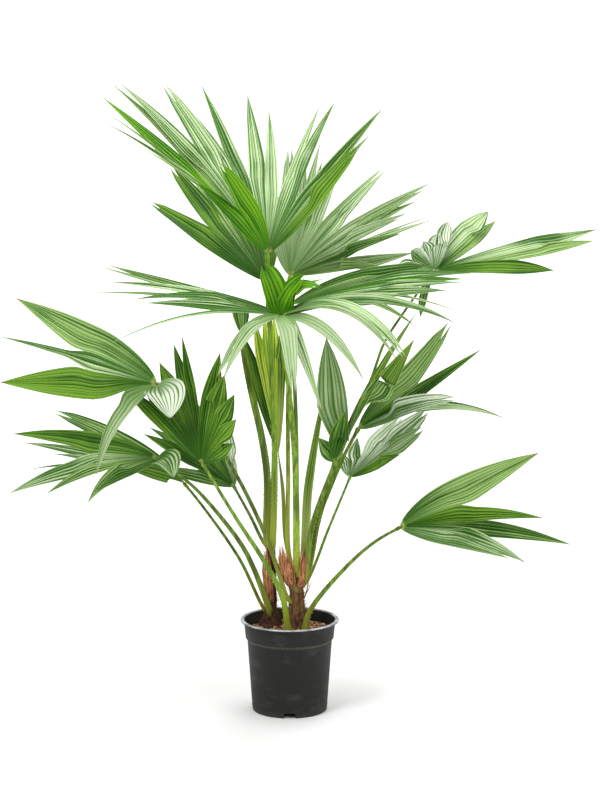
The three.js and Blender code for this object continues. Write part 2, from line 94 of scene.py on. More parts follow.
# ---- Wiring of node trees ----
class Wiring:
    """Adds nodes to one tree and joins them."""

    def __init__(self, tree: bpy.types.NodeTree) -> None:
        """Keeps the tree that is wired."""
        self.tree = tree

    def add(self, kind: str, inputs: dict[Any, Any] | None = None, **settings: Any) -> bpy.types.Node:
        """Adds one node.

        Args:
            kind: Blender's name of the node's type.
            inputs: Value or output socket for each input, by the input's name or place.
            settings: Properties of the node.

        Returns:
            The node.
        """
        node = self.tree.nodes.new(kind)
        for name, value in settings.items():
            setattr(node, name, value)
        for key, value in (inputs or {}).items():
            if isinstance(value, Socket):
                self.tree.links.new(value, node.inputs[key])
            else:
                node.inputs[key].default_value = value
        return node

    def sum(self, kind: str, *values: Any) -> Socket:
        """Adds a Math node of this operation.

        Args:
            kind: The operation.
            values: Its numbers or sockets.

        Returns:
            Its output.
        """
        return self.add("ShaderNodeMath", dict(enumerate(values)), operation=kind).outputs[0]

    def product(self, *values: Any) -> Socket:
        """Returns the product of two numbers or sockets."""
        return self.sum("MULTIPLY", *values)

    def vector(self, kind: str, *values: Any) -> Socket:
        """Adds a Vector Math node of this operation.

        Args:
            kind: The operation.
            values: Its vectors or sockets.

        Returns:
            Its vector output.
        """
        return self.add("ShaderNodeVectorMath", dict(enumerate(values)), operation=kind).outputs[0]

    def ramp(self, value: Any, low: float, high: float, start: float = 0.0, end: float = 1.0) -> Socket:
        """Maps a value softly from one range to another.

        Args:
            value: The socket that is mapped.
            low, high: Its range.
            start, end: The range that it is mapped to.

        Returns:
            The mapped value.
        """
        inputs = {"Value": value, "From Min": low, "From Max": high, "To Min": start, "To Max": end}
        return self.add("ShaderNodeMapRange", inputs, interpolation_type="SMOOTHSTEP").outputs[0]

    def swayed(self, value: Any, pattern: Any, depth: float) -> Socket:
        """Adds a pattern to a value, so that the middle of the pattern leaves the value as it is.

        Args:
            value: The value.
            pattern: The pattern, 0 to 1.
            depth: What the pattern's whole range comes to.

        Returns:
            The sum.
        """
        return self.sum("ADD", value, self.product(self.sum("SUBTRACT", pattern, 0.5), depth))

    def scaled(self, *axes: tuple[Any, float]) -> Socket:
        """Returns the coordinates made of these values, each multiplied by its factor."""
        products = {axis: self.product(*pair) for axis, pair in enumerate(axes)}
        return self.add("ShaderNodeCombineXYZ", products).outputs[0]

    def lengthened(self, vector: Any, factor: Any) -> Socket:
        """Returns the vector multiplied by the factor."""
        return self.add("ShaderNodeVectorMath", {0: vector, "Scale": factor}, operation="SCALE").outputs[0]

    def dealt(self, number: Any) -> Socket:
        """Returns the value, 0 to 1, that chance deals to each number."""
        return self.add("ShaderNodeTexWhiteNoise", {"W": number}, noise_dimensions="1D").outputs["Value"]

    def blend(self, share: Any, under: Any, over: Any) -> Socket:
        """Mixes two colours.

        Args:
            share: How much of the second one shows.
            under, over: The colours.

        Returns:
            The mixed colour.
        """
        return self.add("ShaderNodeMix", {0: share, 6: under, 7: over}, data_type="RGBA").outputs[2]

    def noise(self, place: Any, detail: float, roughness: float = 0.5) -> Socket:
        """Adds a noise pattern.

        Args:
            place: The coordinates.
            detail, roughness: The pattern's settings.

        Returns:
            Its value, 0 to 1.
        """
        inputs = {"Vector": place, "Scale": 1.0, "Detail": detail, "Roughness": roughness}
        return self.add("ShaderNodeTexNoise", inputs).outputs["Fac"]

    def place(self) -> Socket:
        """Returns the piece's own coordinates, in metres."""
        return self.add("ShaderNodeTexCoord").outputs["Object"]

    def grain(self, factors: tuple[float, float, float], detail: float, roughness: float = 0.5) -> Socket:
        """Adds a noise pattern on the piece's own coordinates.

        Args:
            factors: How often the pattern changes in a metre of X, Y and Z.
            detail, roughness: The pattern's settings.

        Returns:
            Its value, 0 to 1.
        """
        return self.noise(self.vector("MULTIPLY", self.place(), factors), detail, roughness)


class Surface(Wiring):
    """A material while its nodes are wired."""

    def __init__(self, name: str, roughness: float, sheen: float = 0.5) -> None:
        """Makes the material.

        Args:
            name: The material's name.
            roughness: Its roughness where no pattern drives it.
            sheen: Its specular level.
        """
        self.material = bpy.data.materials.new(name)
        self.material.use_nodes = True
        super().__init__(self.material.node_tree)
        self.shader = self.tree.nodes["Principled BSDF"]
        self.shader.inputs["Roughness"].default_value = roughness
        self.shader.inputs["Specular IOR Level"].default_value = sheen

    def coloured(self, colour: Socket, roughness: Socket | None = None) -> None:
        """Joins a colour, and a roughness where one is given, to the shader."""
        self.tree.links.new(colour, self.shader.inputs["Base Color"])
        if roughness is not None:
            self.tree.links.new(roughness, self.shader.inputs["Roughness"])

    def raised(self, height: Socket, distance: float, strength: float = 1.0) -> None:
        """Gives the surface relief.

        Args:
            height: The pattern of heights.
            distance: Its depth in metres.
            strength: How much of it shows.
        """
        bump = self.add("ShaderNodeBump", {"Height": height, "Distance": distance, "Strength": strength})
        self.tree.links.new(bump.outputs[0], self.shader.inputs["Normal"])


# ---- Finishes ----
HUB_GREEN = paint(176, 190, 104)
DRY_TIP = paint(142, 112, 66)
LEAF_SHEEN = 0.18
STALK_SHEEN = 0.24
PLASTIC_SHEEN = 0.22
FIBRE_SHEEN = 0.25


@dataclass(frozen=True)
class LeafFinish:
    """The skin of a leaf: two greens over its pleats, with every other flank painted darker as painted
    shade, light ribs, painted shade in the folds, fine veins and dry tips.

    Attributes:
        name: The material's name.
        light, dark: Greens of the flanks of a pleat; they alternate partly by chance and partly as painted
            shade on every other flank.
        rib: Colour of the raised ribs.
        crease_shade: Colour of the painted shade in the folds between them.
        gloss: Roughness between the veins.
        burn: Share of the leaflet tips that are dry.
        hub: Share of the length over which the leaf takes the yellow green of its hub.
    """

    name: str
    light: Colour
    dark: Colour
    rib: Colour
    crease_shade: Colour
    gloss: float = 0.38
    burn: float = 0.35
    hub: float = 0.05

    def material(self) -> Material:
        """Wires the skin, which reads the marks on the leaf.

        Returns:
            The material.
        """
        made = Surface(self.name, self.gloss, LEAF_SHEEN)
        marks = made.add("ShaderNodeAttribute", attribute_name=LEAF_MARKS).outputs["Vector"]
        parts = made.add("ShaderNodeSeparateXYZ", {0: marks}).outputs
        pleat, share, leaflet = parts[0], parts[1], parts[2]

        # Light and dark: each leaflet, each flank of a pleat and each vein has its own tone, and every other
        # flank is painted darker, painted shade for the side of a pleat that faces away from the light.
        flank = made.sum("FLOOR", pleat)
        veins = made.noise(made.scaled((pleat, 7.0), (share, 2.6), (leaflet, 3.7)), 2.0, 0.6)
        own = made.dealt(leaflet)
        band = made.dealt(made.sum("ADD", flank, made.product(leaflet, 17.0)))
        broad = made.noise(made.scaled((pleat, 0.42), (share, 0.9), (leaflet, 5.3)), 1.0)
        mottle = made.grain((9.0, 9.0, 9.0), 2.0)
        # Painted shade: every other flank gets a darker tone.
        tone = made.sum("ADD", made.product(made.sum("MODULO", flank, 2.0), 0.26), made.product(veins, 0.7))
        for pattern, depth in ((band, 0.55), (own, 0.45), (mottle, 1.1), (broad, 1.7)):
            tone = made.swayed(tone, pattern, depth)
        colour = made.blend(made.ramp(tone, 0.27, 0.72), self.light, self.dark)

        # A light rib on each crest, and in each valley painted shade of its own depth.
        crest = made.sum("PINGPONG", pleat, 1.0)
        colour = made.blend(made.ramp(crest, 0.14, 0.0, 0.0, 0.7), colour, self.rib)
        valley = made.sum("FLOOR", made.product(pleat, 0.5))
        fold = made.dealt(made.sum("ADD", valley, made.product(leaflet, 31.0)))
        shade = made.product(made.ramp(crest, 0.62, 0.96), made.ramp(fold, 0.0, 0.6, 0.5, 1.0))
        shade = made.product(shade, made.ramp(veins, 0.3, 0.6, 0.7, 1.0))
        colour = made.blend(shade, colour, self.crease_shade)

        # Darker toward the hub, yellow green at it, and dry at the tips of some leaflets.
        colour = made.blend(made.ramp(share, 0.46, 0.02, 0.0, 0.8), colour, self.dark)
        colour = made.blend(made.ramp(share, self.hub, self.hub * 0.4, 0.0, 0.7), colour, HUB_GREEN)
        burnt = made.ramp(own, self.burn, self.burn - 0.05)
        colour = made.blend(made.product(made.ramp(share, 0.955, 0.99), burnt), colour, DRY_TIP)
        made.coloured(colour, made.ramp(veins, 0.2, 0.8, self.gloss - 0.05, self.gloss + 0.14))
        made.raised(veins, 0.0004, 0.6)
        return made.material


class Leaf(Enum):
    """The finishes that leaves are dealt."""

    # The leaf's own waxy bloom, with painted sheen: its pale flanks stand for the sheen of the lamps and
    # white sky on lit upper sides.
    BLOOM_AND_SHEEN = LeafFinish("leaf_bloom_and_sheen", paint(176, 201, 148), paint(50, 101, 6), paint(182, 203, 152),
                        paint(18, 56, 1))
    # Painted light: a paler copy of the green for upper sides that face the light.
    PALE = LeafFinish("leaf_pale", paint(156, 177, 132), paint(100, 136, 66), paint(168, 187, 144),
                      paint(48, 90, 16))
    MID = LeafFinish("leaf_mid", paint(140, 173, 98), paint(42, 92, 2), paint(168, 194, 120),
                     paint(18, 56, 1))
    # Painted shade: a darker copy of the green for leaflets that lie in shade.
    DEEP = LeafFinish("leaf_deep", paint(106, 150, 38), paint(34, 82, 1), paint(120, 158, 52),
                      paint(12, 42, 1), 0.42)
    # Painted light: a bright copy of the green that stands for light shining through the leaf from behind.
    BRIGHT = LeafFinish("leaf_bright", paint(112, 170, 14), paint(46, 108, 1), paint(128, 178, 40),
                        paint(24, 72, 1), 0.38)
    # Painted light: a near-white copy of the green, with painted sheen, that makes leaflets lying in shade
    # look lit.
    PAINTED_LIGHT = LeafFinish("leaf_painted_light", paint(216, 228, 202), paint(66, 114, 18), paint(222, 232, 210),
                       paint(22, 62, 1))
    YOUNG = LeafFinish("leaf_young", paint(214, 228, 96), paint(144, 184, 30), paint(222, 232, 124),
                       paint(82, 124, 8), 0.44, 0.0)
    FOLDED = LeafFinish("leaf_folded", paint(126, 156, 56), paint(62, 98, 14), paint(146, 160, 84),
                        paint(36, 60, 6), 0.42, 0.0, 0.62)
    UNDER = LeafFinish("leaf_underside", paint(120, 154, 58), paint(66, 110, 18), paint(146, 170, 80),
                       paint(38, 76, 4), 0.5)


@dataclass(frozen=True)
class StalkFinish:
    """Skin of a leafstalk: smooth green, yellower toward its foot, with fine lengthwise streaks.

    Attributes:
        name: The material's name.
        foot: Colour at the foot.
        body: Main colour.
        streak: Colour of the streaks.
        edge: Colour of the darker bands.
    """

    name: str
    foot: Colour
    body: Colour
    streak: Colour
    edge: Colour

    def material(self) -> Material:
        """Wires the skin, which reads the share of the stalk's length.

        Returns:
            The material.
        """
        made = Surface(self.name, 0.42, STALK_SHEEN)
        share = made.add("ShaderNodeAttribute", attribute_name=COURSE).outputs["Fac"]
        streaks = made.grain((300.0, 300.0, 3.0), 2.0, 0.6)
        bands = made.grain((120.0, 120.0, 1.6), 1.0)
        colour = made.blend(made.ramp(streaks, 0.38, 0.72), self.body, self.streak)
        colour = made.blend(made.ramp(bands, 0.42, 0.66, 0.0, 0.8), colour, self.edge)
        colour = made.blend(made.ramp(share, 0.34, 0.0, 0.0, 0.75), colour, self.foot)
        made.coloured(colour, made.ramp(streaks, 0.2, 0.8, 0.34, 0.52))
        made.raised(streaks, 0.0004, 0.5)
        return made.material


class StalkGreen(Enum):
    """The finishes of the leafstalks and their spines."""

    LIGHT = StalkFinish("stalk_light", paint(182, 180, 70), paint(134, 158, 42), paint(176, 188, 84),
                        paint(98, 110, 18))
    GREEN = StalkFinish("stalk_green", paint(160, 170, 52), paint(98, 138, 22), paint(142, 170, 60),
                        paint(64, 90, 8))
    DARK = StalkFinish("stalk_dark", paint(146, 148, 46), paint(80, 114, 16), paint(124, 150, 52),
                       paint(58, 68, 8))
    SPINE = StalkFinish("spine_yellow", paint(150, 140, 60), paint(196, 200, 112), paint(208, 196, 120),
                        paint(150, 140, 60))


@dataclass(frozen=True)
class PlasticFinish:
    """Matt black plastic of a used nursery pot: scuffs, dust under the collar and at the foot, and the lip's
    top edge painted pale, partly wear and partly a painted highlight.

    Attributes:
        black: Colour of the clean plastic.
        dust: Colour of the dust.
        wear_and_highlight: Colour of the lip's top edge, partly wear and partly a painted highlight.
        lip: Height in metres at which the lip begins.
        collar: Height in metres of the collar's foot.
    """

    black: Colour = paint(27, 28, 26)
    dust: Colour = paint(84, 81, 68)
    wear_and_highlight: Colour = paint(184, 187, 190)
    lip: float = 0.1935
    collar: float = 0.157

    def material(self) -> Material:
        """Wires the plastic, which reads the height on the pot.

        Returns:
            The material.
        """
        made = Surface("pot_black", 0.6, PLASTIC_SHEEN)
        height = made.add("ShaderNodeSeparateXYZ", {0: made.place()}).outputs[2]
        fine = made.grain((240.0, 240.0, 240.0), 3.0, 0.6)
        cloud = made.grain((22.0, 22.0, 34.0), 4.0, 0.6)
        scratch = made.grain((60.0, 60.0, 900.0), 2.0, 0.6)

        # Dust in a ragged line under the collar, at the foot, in thin clouds and in scratches round the pot.
        ragged = made.swayed(height, cloud, 0.006)
        line = made.product(made.ramp(ragged, self.collar - 0.006, self.collar - 0.0015),
                            made.ramp(ragged, self.collar + 0.003, self.collar - 0.0005))
        foot = made.ramp(ragged, 0.016, 0.002, 0.0, 0.5)
        film = made.ramp(cloud, 0.48, 0.8, 0.0, 0.3)
        scuff = made.product(made.ramp(scratch, 0.62, 0.76), made.ramp(cloud, 0.5, 0.66, 0.0, 0.5))
        dirt = made.product(line, made.ramp(fine, 0.3, 0.6, 0.2, 0.8))
        for other in (made.product(foot, fine), film, scuff):
            dirt = made.sum("MAXIMUM", dirt, other)
        colour = made.blend(dirt, self.black, self.dust)

        # The top edge of the lip is painted pale grey in patches, not all the way round: partly wear, partly
        # a painted highlight where the rolled lip catches the light.
        edge = made.ramp(made.swayed(height, fine, 0.002), self.lip + 0.0018, self.lip + 0.003)
        lip_patches = made.grain((34.0, 34.0, 34.0), 3.0, 0.6)
        edge = made.product(edge, made.ramp(lip_patches, 0.3, 0.62, 0.3, 1.0))
        colour = made.blend(edge, colour, self.wear_and_highlight)
        made.coloured(colour, made.ramp(fine, 0.2, 0.8, 0.5, 0.68))
        made.raised(fine, 0.0003, 0.4)
        return made.material


class Moulded(Enum):
    """The finish of the pot."""

    POT = PlasticFinish()


@dataclass(frozen=True)
class FibreFinish:
    """Dry plant fibre or bark: three tones laid in strands.

    Attributes:
        name: The material's name.
        dark, body, light: The tones.
        along: Stretch of the pattern on X, Y and Z, per metre.
        relief: Depth of the relief in metres.
        green: Colour of living tissue that shows through, if any.
        patch: Middle of that green patch in metres.
        reach: Its radius.
    """

    name: str
    dark: Colour
    body: Colour
    light: Colour
    along: tuple[float, float, float] = (300.0, 300.0, 40.0)
    relief: float = 0.001
    green: Colour | None = None
    patch: tuple[float, float, float] = (0.0, 0.0, 0.0)
    reach: float = 0.02

    def material(self) -> Material:
        """Wires the strands, with the patch of living tissue where there is one.

        Returns:
            The material.
        """
        made = Surface(self.name, 0.85, FIBRE_SHEEN)
        strands = made.grain(self.along, 4.0, 0.65)
        patches = made.grain((38.0, 38.0, 30.0), 3.0, 0.6)
        colour = made.blend(made.ramp(strands, 0.36, 0.56), self.dark, self.body)
        colour = made.blend(made.ramp(strands, 0.56, 0.74, 0.0, 0.85), colour, self.light)
        colour = made.blend(made.ramp(patches, 0.52, 0.72, 0.0, 0.55), colour, self.dark)
        if self.green is not None:
            away = made.add("ShaderNodeVectorMath", {0: made.place(), 1: self.patch}, operation="DISTANCE")
            rough = made.swayed(away.outputs["Value"], strands, 0.03)
            living = made.ramp(rough, self.reach + 0.006, self.reach - 0.003, 0.0, 0.8)
            colour = made.blend(living, colour, self.green)
        made.coloured(colour)
        made.raised(strands, self.relief, 0.9)
        return made.material


class Fibre(Enum):
    """The finishes of soil, stems, fibres and sheaths."""

    SOIL = FibreFinish("potting_mix", paint(52, 34, 24), paint(112, 76, 50), paint(172, 132, 94),
                       (190.0, 190.0, 190.0), 0.003)
    CHIP_RED = FibreFinish("chip_red", paint(92, 56, 36), paint(150, 98, 64), paint(192, 138, 98),
                           (500.0, 500.0, 500.0))
    CHIP_TAN = FibreFinish("chip_tan", paint(160, 120, 82), paint(214, 176, 132), paint(240, 212, 174),
                           (500.0, 500.0, 500.0))
    CHIP_DARK = FibreFinish("chip_dark", paint(34, 24, 18), paint(62, 42, 30), paint(96, 68, 48),
                            (500.0, 500.0, 500.0))
    STEM_LEFT = FibreFinish("stem_dark", paint(40, 26, 18), paint(84, 54, 34), paint(132, 90, 58))
    STEM_RIGHT = FibreFinish("stem_tan", paint(62, 42, 28), paint(126, 92, 58), paint(176, 142, 94),
                             green=paint(132, 142, 62), patch=(0.013, -0.01, 0.273), reach=0.012)
    HAIR_DARK = FibreFinish("hair_dark", paint(48, 30, 20), paint(92, 60, 38), paint(128, 88, 56))
    HAIR_TAN = FibreFinish("hair_tan", paint(104, 74, 46), paint(158, 122, 80), paint(194, 160, 112))
    SHEATH = FibreFinish("sheath_brown", paint(104, 62, 38), paint(176, 118, 78), paint(222, 176, 134),
                         (260.0, 260.0, 16.0), 0.0008)
    SPLINTER = FibreFinish("splinter_red", paint(104, 58, 34), paint(166, 102, 66), paint(208, 150, 108),
                           (400.0, 400.0, 30.0), 0.0004)


DRESS: dict[Enum, Material] = {}     # each finish's material, once it is mixed


# ---- Courses and meshes ----
ARCH_STATIONS = 161
SPAN_STATIONS = 60                             # of a curve between two of its points
NEARBY = 0.004                                 # share of a curve's length over which its direction is taken
WELD = 0.001                                   # corners on one grid of this many millimetres are one corner


class Course:
    """A curve known by close samples and read by the share of its length."""

    def __init__(self, samples: np.ndarray) -> None:
        """Keeps the samples and measures the way along them."""
        self.samples = samples
        steps = np.linalg.norm(np.diff(samples, axis=0), axis=1)
        self.gone = np.concatenate([[0.0], np.cumsum(steps)])

    @property
    def length(self) -> float:
        """The curve's length."""
        return float(self.gone[-1])

    def at(self, shares: np.ndarray) -> np.ndarray:
        """Returns the points at these shares of the length."""
        aim = np.asarray(shares) * self.length
        return np.stack([np.interp(aim, self.gone, self.samples[:, axis]) for axis in range(3)], -1)

    def along(self, shares: np.ndarray) -> np.ndarray:
        """Returns the directions of the curve at these shares of the length."""
        near = np.clip(np.asarray(shares) - NEARBY, 0, 1)
        far = np.clip(np.asarray(shares) + NEARBY, 0, 1)
        return unit(self.at(far) - self.at(near))


def arched(hub: np.ndarray, leaflet: "Leaflet") -> Course:
    """Lays the arch of a leaflet from the hub to its tip, raised and swept to its right at the middle.

    Args:
        hub: Where the leaflets meet.
        leaflet: The tip from the hub, with the rise and sweep of the arch.

    Returns:
        The arch.
    """
    tip = np.array([leaflet.x, leaflet.y, leaflet.z], float)
    chord = unit(tip)
    up = unit(np.array([0, 0, 1.0]) - chord * chord[2])
    right = np.cross(chord, up)
    knee = tip / 2 + up * 2 * leaflet.rise + right * 2 * leaflet.sweep
    t = np.linspace(0, 1, ARCH_STATIONS)[:, None]
    return Course(hub + 2 * t * (1 - t) * knee + t * t * tip)


def smoothed(points: Sequence[Sequence[float]]) -> Course:
    """Lays a centripetal curve through points.

    Args:
        points: The points, in order.

    Returns:
        The curve.
    """
    way = np.array(points, float)
    way = np.concatenate([[2 * way[0] - way[1]], way, [2 * way[-1] - way[-2]]])
    pieces = []
    for a, b, c, d in zip(way, way[1:], way[2:], way[3:]):
        before, here, after = (max(np.linalg.norm(q - p), 1e-6) ** 0.5 for p, q in ((a, b), (b, c), (c, d)))
        leaving = ((b - a) / before - (c - a) / (before + here) + (c - b) / here) * here
        arriving = ((c - b) / here - (d - b) / (here + after) + (d - c) / after) * here
        t = np.linspace(0, 1, SPAN_STATIONS, endpoint=False)[:, None]
        pieces.append(b + leaving * t + (3 * (c - b) - 2 * leaving - arriving) * t ** 2
                      + (2 * (b - c) + leaving + arriving) * t ** 3)
    return Course(np.concatenate([*pieces, way[-2:-1]]))


def softened(mesh: bpy.types.Mesh, crease: float) -> None:
    """Shades a mesh smooth, but for the edges whose faces meet at more than this many degrees."""
    mesh.shade_smooth()
    mesh.set_sharp_from_angle(angle=math.radians(crease))


def placed(name: str, data: bpy.types.ID) -> Piece:
    """Puts a new object into the scene.

    Args:
        name: The object's name.
        data: Its mesh, lamp or camera.

    Returns:
        The object.
    """
    thing = bpy.data.objects.new(name, data)
    bpy.context.scene.collection.objects.link(thing)
    return thing


class Layout:
    """Corners, faces and marks of one piece while it is laid out, in millimetres."""

    def __init__(self, name: str) -> None:
        """Starts an empty piece.

        Args:
            name: The piece's name.
        """
        self.name = name
        self.corners: list[np.ndarray] = []
        self.marks: list[np.ndarray] = []
        self.faces: list[np.ndarray] = []
        self.kinds: list[np.ndarray] = []
        self.count = 0

    def grid(self, rows: np.ndarray, marks: np.ndarray | None = None, kind: int = 0, ring: bool = False,
             flip: bool = False) -> None:
        """Adds a sheet of four-sided faces.

        Args:
            rows: Corners as rows by columns by three.
            marks: A vector for each corner, read by materials.
            kind: Which of the piece's materials the faces have.
            ring: Whether the last column joins the first one.
            flip: Whether the faces turn round.
        """
        high, wide = rows.shape[:2]
        index = np.arange(high * wide).reshape(high, wide) + self.count
        if ring:
            index = np.concatenate([index, index[:, :1]], 1)
        quads = np.stack([index[:-1, :-1], index[:-1, 1:], index[1:, 1:], index[1:, :-1]], -1).reshape(-1, 4)
        self.faces.append(quads[:, ::-1] if flip else quads)
        self.kinds.append(np.full(len(quads), kind))
        self.corners.append(rows.reshape(-1, 3))
        self.marks.append(np.zeros((high * wide, 3)) if marks is None else marks.reshape(-1, 3))
        self.count += high * wide

    def tube(self, rings: np.ndarray, marks: np.ndarray | None = None, flip: bool = False) -> None:
        """Adds a tube, closed at both ends with triangles to their middles.

        Args:
            rings: Its rings of corners from one end to the other.
            marks: A vector for each corner, read by materials.
            flip: Whether the faces turn round.
        """
        self.grid(rings, marks, ring=True, flip=flip)
        for end, turned in ((rings[-1], flip), (rings[0], not flip)):
            self.grid(np.stack([end, np.broadcast_to(end.mean(0), end.shape)]), ring=True, flip=turned)

    def built(self, materials: Sequence[Material], crease: float = 40.0, closed: bool = False) -> Piece:
        """Makes the piece, with corners that lie together welded.

        Args:
            materials: Its materials, by kind.
            crease: Faces that meet at more than this many degrees have a sharp edge.
            closed: Whether the piece is a closed shell, whose faces are then turned outwards.

        Returns:
            The piece, in metres.
        """
        corners = np.concatenate(self.corners)
        marks = np.concatenate(self.marks)
        _, first, index = np.unique(np.round(corners / WELD), axis=0, return_index=True, return_inverse=True)
        index = index.reshape(-1)
        faces, kept, told = [], [], []
        for quads, kinds in zip(self.faces, self.kinds):
            for quad, kind in zip(quads.tolist(), kinds.tolist()):
                ends = [q for n, q in enumerate(quad) if index[q] != index[quad[n - 1]]]
                if len(ends) > 2 and len({int(index[q]) for q in ends}) == len(ends):
                    faces.append([int(index[q]) for q in ends])
                    told.extend(ends)
                    kept.append(kind)
        mesh = bpy.data.meshes.new(self.name)
        mesh.from_pydata((corners[first] * MM).tolist(), [], faces)
        mesh.polygons.foreach_set("material_index", kept)
        marked = mesh.attributes.new(LEAF_MARKS, "FLOAT_VECTOR", "CORNER")
        marked.data.foreach_set("vector", marks[told].astype(np.float32).ravel())
        for material in materials:
            mesh.materials.append(material)
        if closed:
            shell = bmesh.new()
            shell.from_mesh(mesh)
            bmesh.ops.recalc_face_normals(shell, faces=shell.faces)
            shell.to_mesh(mesh)
            shell.free()
        softened(mesh, crease)
        return placed(self.name, mesh)


def settled(piece: Piece) -> Piece:
    """Turns what a piece's modifiers make into its plain mesh.

    Args:
        piece: The piece.

    Returns:
        The same piece, without modifiers.
    """
    graph = bpy.context.evaluated_depsgraph_get()
    graph.update()
    shape = piece.evaluated_get(graph)
    made = bpy.data.meshes.new_from_object(shape, preserve_all_data_layers=True, depsgraph=graph)
    piece.modifiers.clear()
    piece.data = made
    return piece


def thickened(piece: Piece, thickness: float) -> Piece:
    """Gives a sheet its thickness, with the piece's last material underneath.

    Args:
        piece: The sheet.
        thickness: In millimetres.

    Returns:
        The same piece, closed.
    """
    wall = piece.modifiers.new("thickness", "SOLIDIFY")
    wall.thickness = thickness * MM
    wall.offset = 0.0
    wall.material_offset = len(piece.data.materials)
    wall.material_offset_rim = 0
    return settled(piece)


def shown(piece: Piece, slot: str, *nodes: str) -> None:
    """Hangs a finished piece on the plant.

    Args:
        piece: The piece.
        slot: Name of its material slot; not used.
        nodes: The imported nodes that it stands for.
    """
    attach(piece, ROOT)
    if nodes:
        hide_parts(*nodes)
    LOG.info("%s: %d faces", piece.name, len(piece.data.polygons))


# ---- Trees that grow what repeats or follows a path ----
FLOAT, INTEGER, MATERIAL = "NodeSocketFloat", "NodeSocketInt", "NodeSocketMaterial"


class Grower(Wiring):
    """A Geometry Nodes tree, built once and used on many pieces."""

    def __init__(self, name: str, **sizes: str) -> None:
        """Makes the tree's inputs.

        Args:
            name: The tree's name.
            sizes: Socket type of each named input.
        """
        super().__init__(bpy.data.node_groups.new(name, "GeometryNodeTree"))
        face = self.tree.interface
        face.new_socket("Geometry", in_out="INPUT", socket_type="NodeSocketGeometry")
        for label, kind in sizes.items():
            face.new_socket(label, in_out="INPUT", socket_type=kind)
        face.new_socket("Geometry", in_out="OUTPUT", socket_type="NodeSocketGeometry")
        self.given = self.add("NodeGroupInput").outputs

    def named(self, name: str, kind: str = "FLOAT") -> Socket:
        """Returns the value of a named attribute."""
        return self.add("GeometryNodeInputNamedAttribute", {"Name": name}, data_type=kind).outputs[0]

    def random(self, low: Any, high: Any, salt: int) -> Socket:
        """Deals a number or a vector to each point, by the tree's seed.

        Args:
            low, high: Both numbers, or both vectors, between which it lies.
            salt: Sets one use apart from another.

        Returns:
            What is dealt.
        """
        kind, first, out = ("FLOAT_VECTOR", 0, 0) if isinstance(low, tuple) else ("FLOAT", 2, 1)
        seed = self.sum("ADD", self.given["Seed"], float(salt))
        limits = {first: low, first + 1: high, "Seed": seed}
        return self.add("FunctionNodeRandomValue", limits, data_type=kind).outputs[out]

    def line(self) -> Socket:
        """Returns the piece's edges as a curve whose normal is the way that the line faces."""
        curve = self.add("GeometryNodeMeshToCurve", {0: self.given["Geometry"]}).outputs[0]
        facing = self.named("facing", "FLOAT_VECTOR")
        return self.add("GeometryNodeSetCurveNormal", {0: curve, "Normal": facing}, mode="FREE").outputs[0]

    def scattered(self) -> Any:
        """Returns the outputs, Points and Normal, of a node that scatters points over the piece."""
        given = self.given
        inputs = {"Mesh": given["Geometry"], "Density": given["Density"], "Seed": given["Seed"]}
        return self.add("GeometryNodeDistributePointsOnFaces", inputs).outputs

    def set_out(self, points: Any, shape: Any, turn: Any, size: Any) -> Socket:
        """Sets a copy of a shape on each point.

        Args:
            points, shape: The points and the shape.
            turn, size: The rotation and the scale of each copy.

        Returns:
            The copies.
        """
        return self.add("GeometryNodeInstanceOnPoints", {
            "Points": points, "Instance": shape, "Rotation": turn, "Scale": size}).outputs[0]

    def ended(self, geometry: Socket) -> None:
        """Realizes what has grown, gives it the material and ends the tree.

        Args:
            geometry: What has grown.
        """
        real = self.add("GeometryNodeRealizeInstances", {0: geometry}).outputs[0]
        smooth = self.add("GeometryNodeSetShadeSmooth", {0: real}).outputs[0]
        done = self.add("GeometryNodeSetMaterial", {0: smooth, "Material": self.given["Material"]})
        self.add("NodeGroupOutput", {0: done.outputs[0]})

    def grown(self, piece: Piece, **values: Any) -> Piece:
        """Runs the tree on a piece and leaves it a plain mesh.

        Args:
            piece: What the tree starts from.
            values: The tree's inputs by name.

        Returns:
            The piece.
        """
        worked = piece.modifiers.new(self.tree.name, "NODES")
        worked.node_group = self.tree
        for item in self.tree.interface.items_tree:
            if item.in_out == "INPUT" and item.name in values:
                worked[item.identifier] = values[item.name]
        return settled(piece)


def sweeper() -> Grower:
    """Builds the tree that sweeps a channelled oval section along a path.

    Returns:
        The tree, with inputs Sides, Flatness, Channel and Material.
    """
    made = Grower("swept_stalk", Sides=INTEGER, Flatness=FLOAT, Channel=FLOAT, Material=MATERIAL)
    circle = {"Resolution": made.given["Sides"], "Radius": 1.0}
    ring = made.add("GeometryNodeCurvePrimitiveCircle", circle).outputs[0]
    place = made.add("ShaderNodeSeparateXYZ", {0: made.add("GeometryNodeInputPosition").outputs[0]}).outputs
    upper = made.product(made.sum("MAXIMUM", place[0], 0.0), made.given["Channel"])
    hollow = made.product(upper, made.sum("SUBTRACT", 1.0, made.product(place[1], place[1])))
    high = made.product(made.sum("SUBTRACT", place[0], hollow), made.given["Flatness"])
    spot = made.add("ShaderNodeCombineXYZ", {0: high, 1: place[1], 2: 0.0}).outputs[0]
    ring = made.add("GeometryNodeSetPosition", {0: ring, "Position": spot}).outputs[0]
    swept = made.add("GeometryNodeCurveToMesh", {
        "Curve": made.line(), "Profile Curve": ring, "Scale": made.named("radius"), "Fill Caps": True})
    made.ended(swept.outputs[0])
    return made


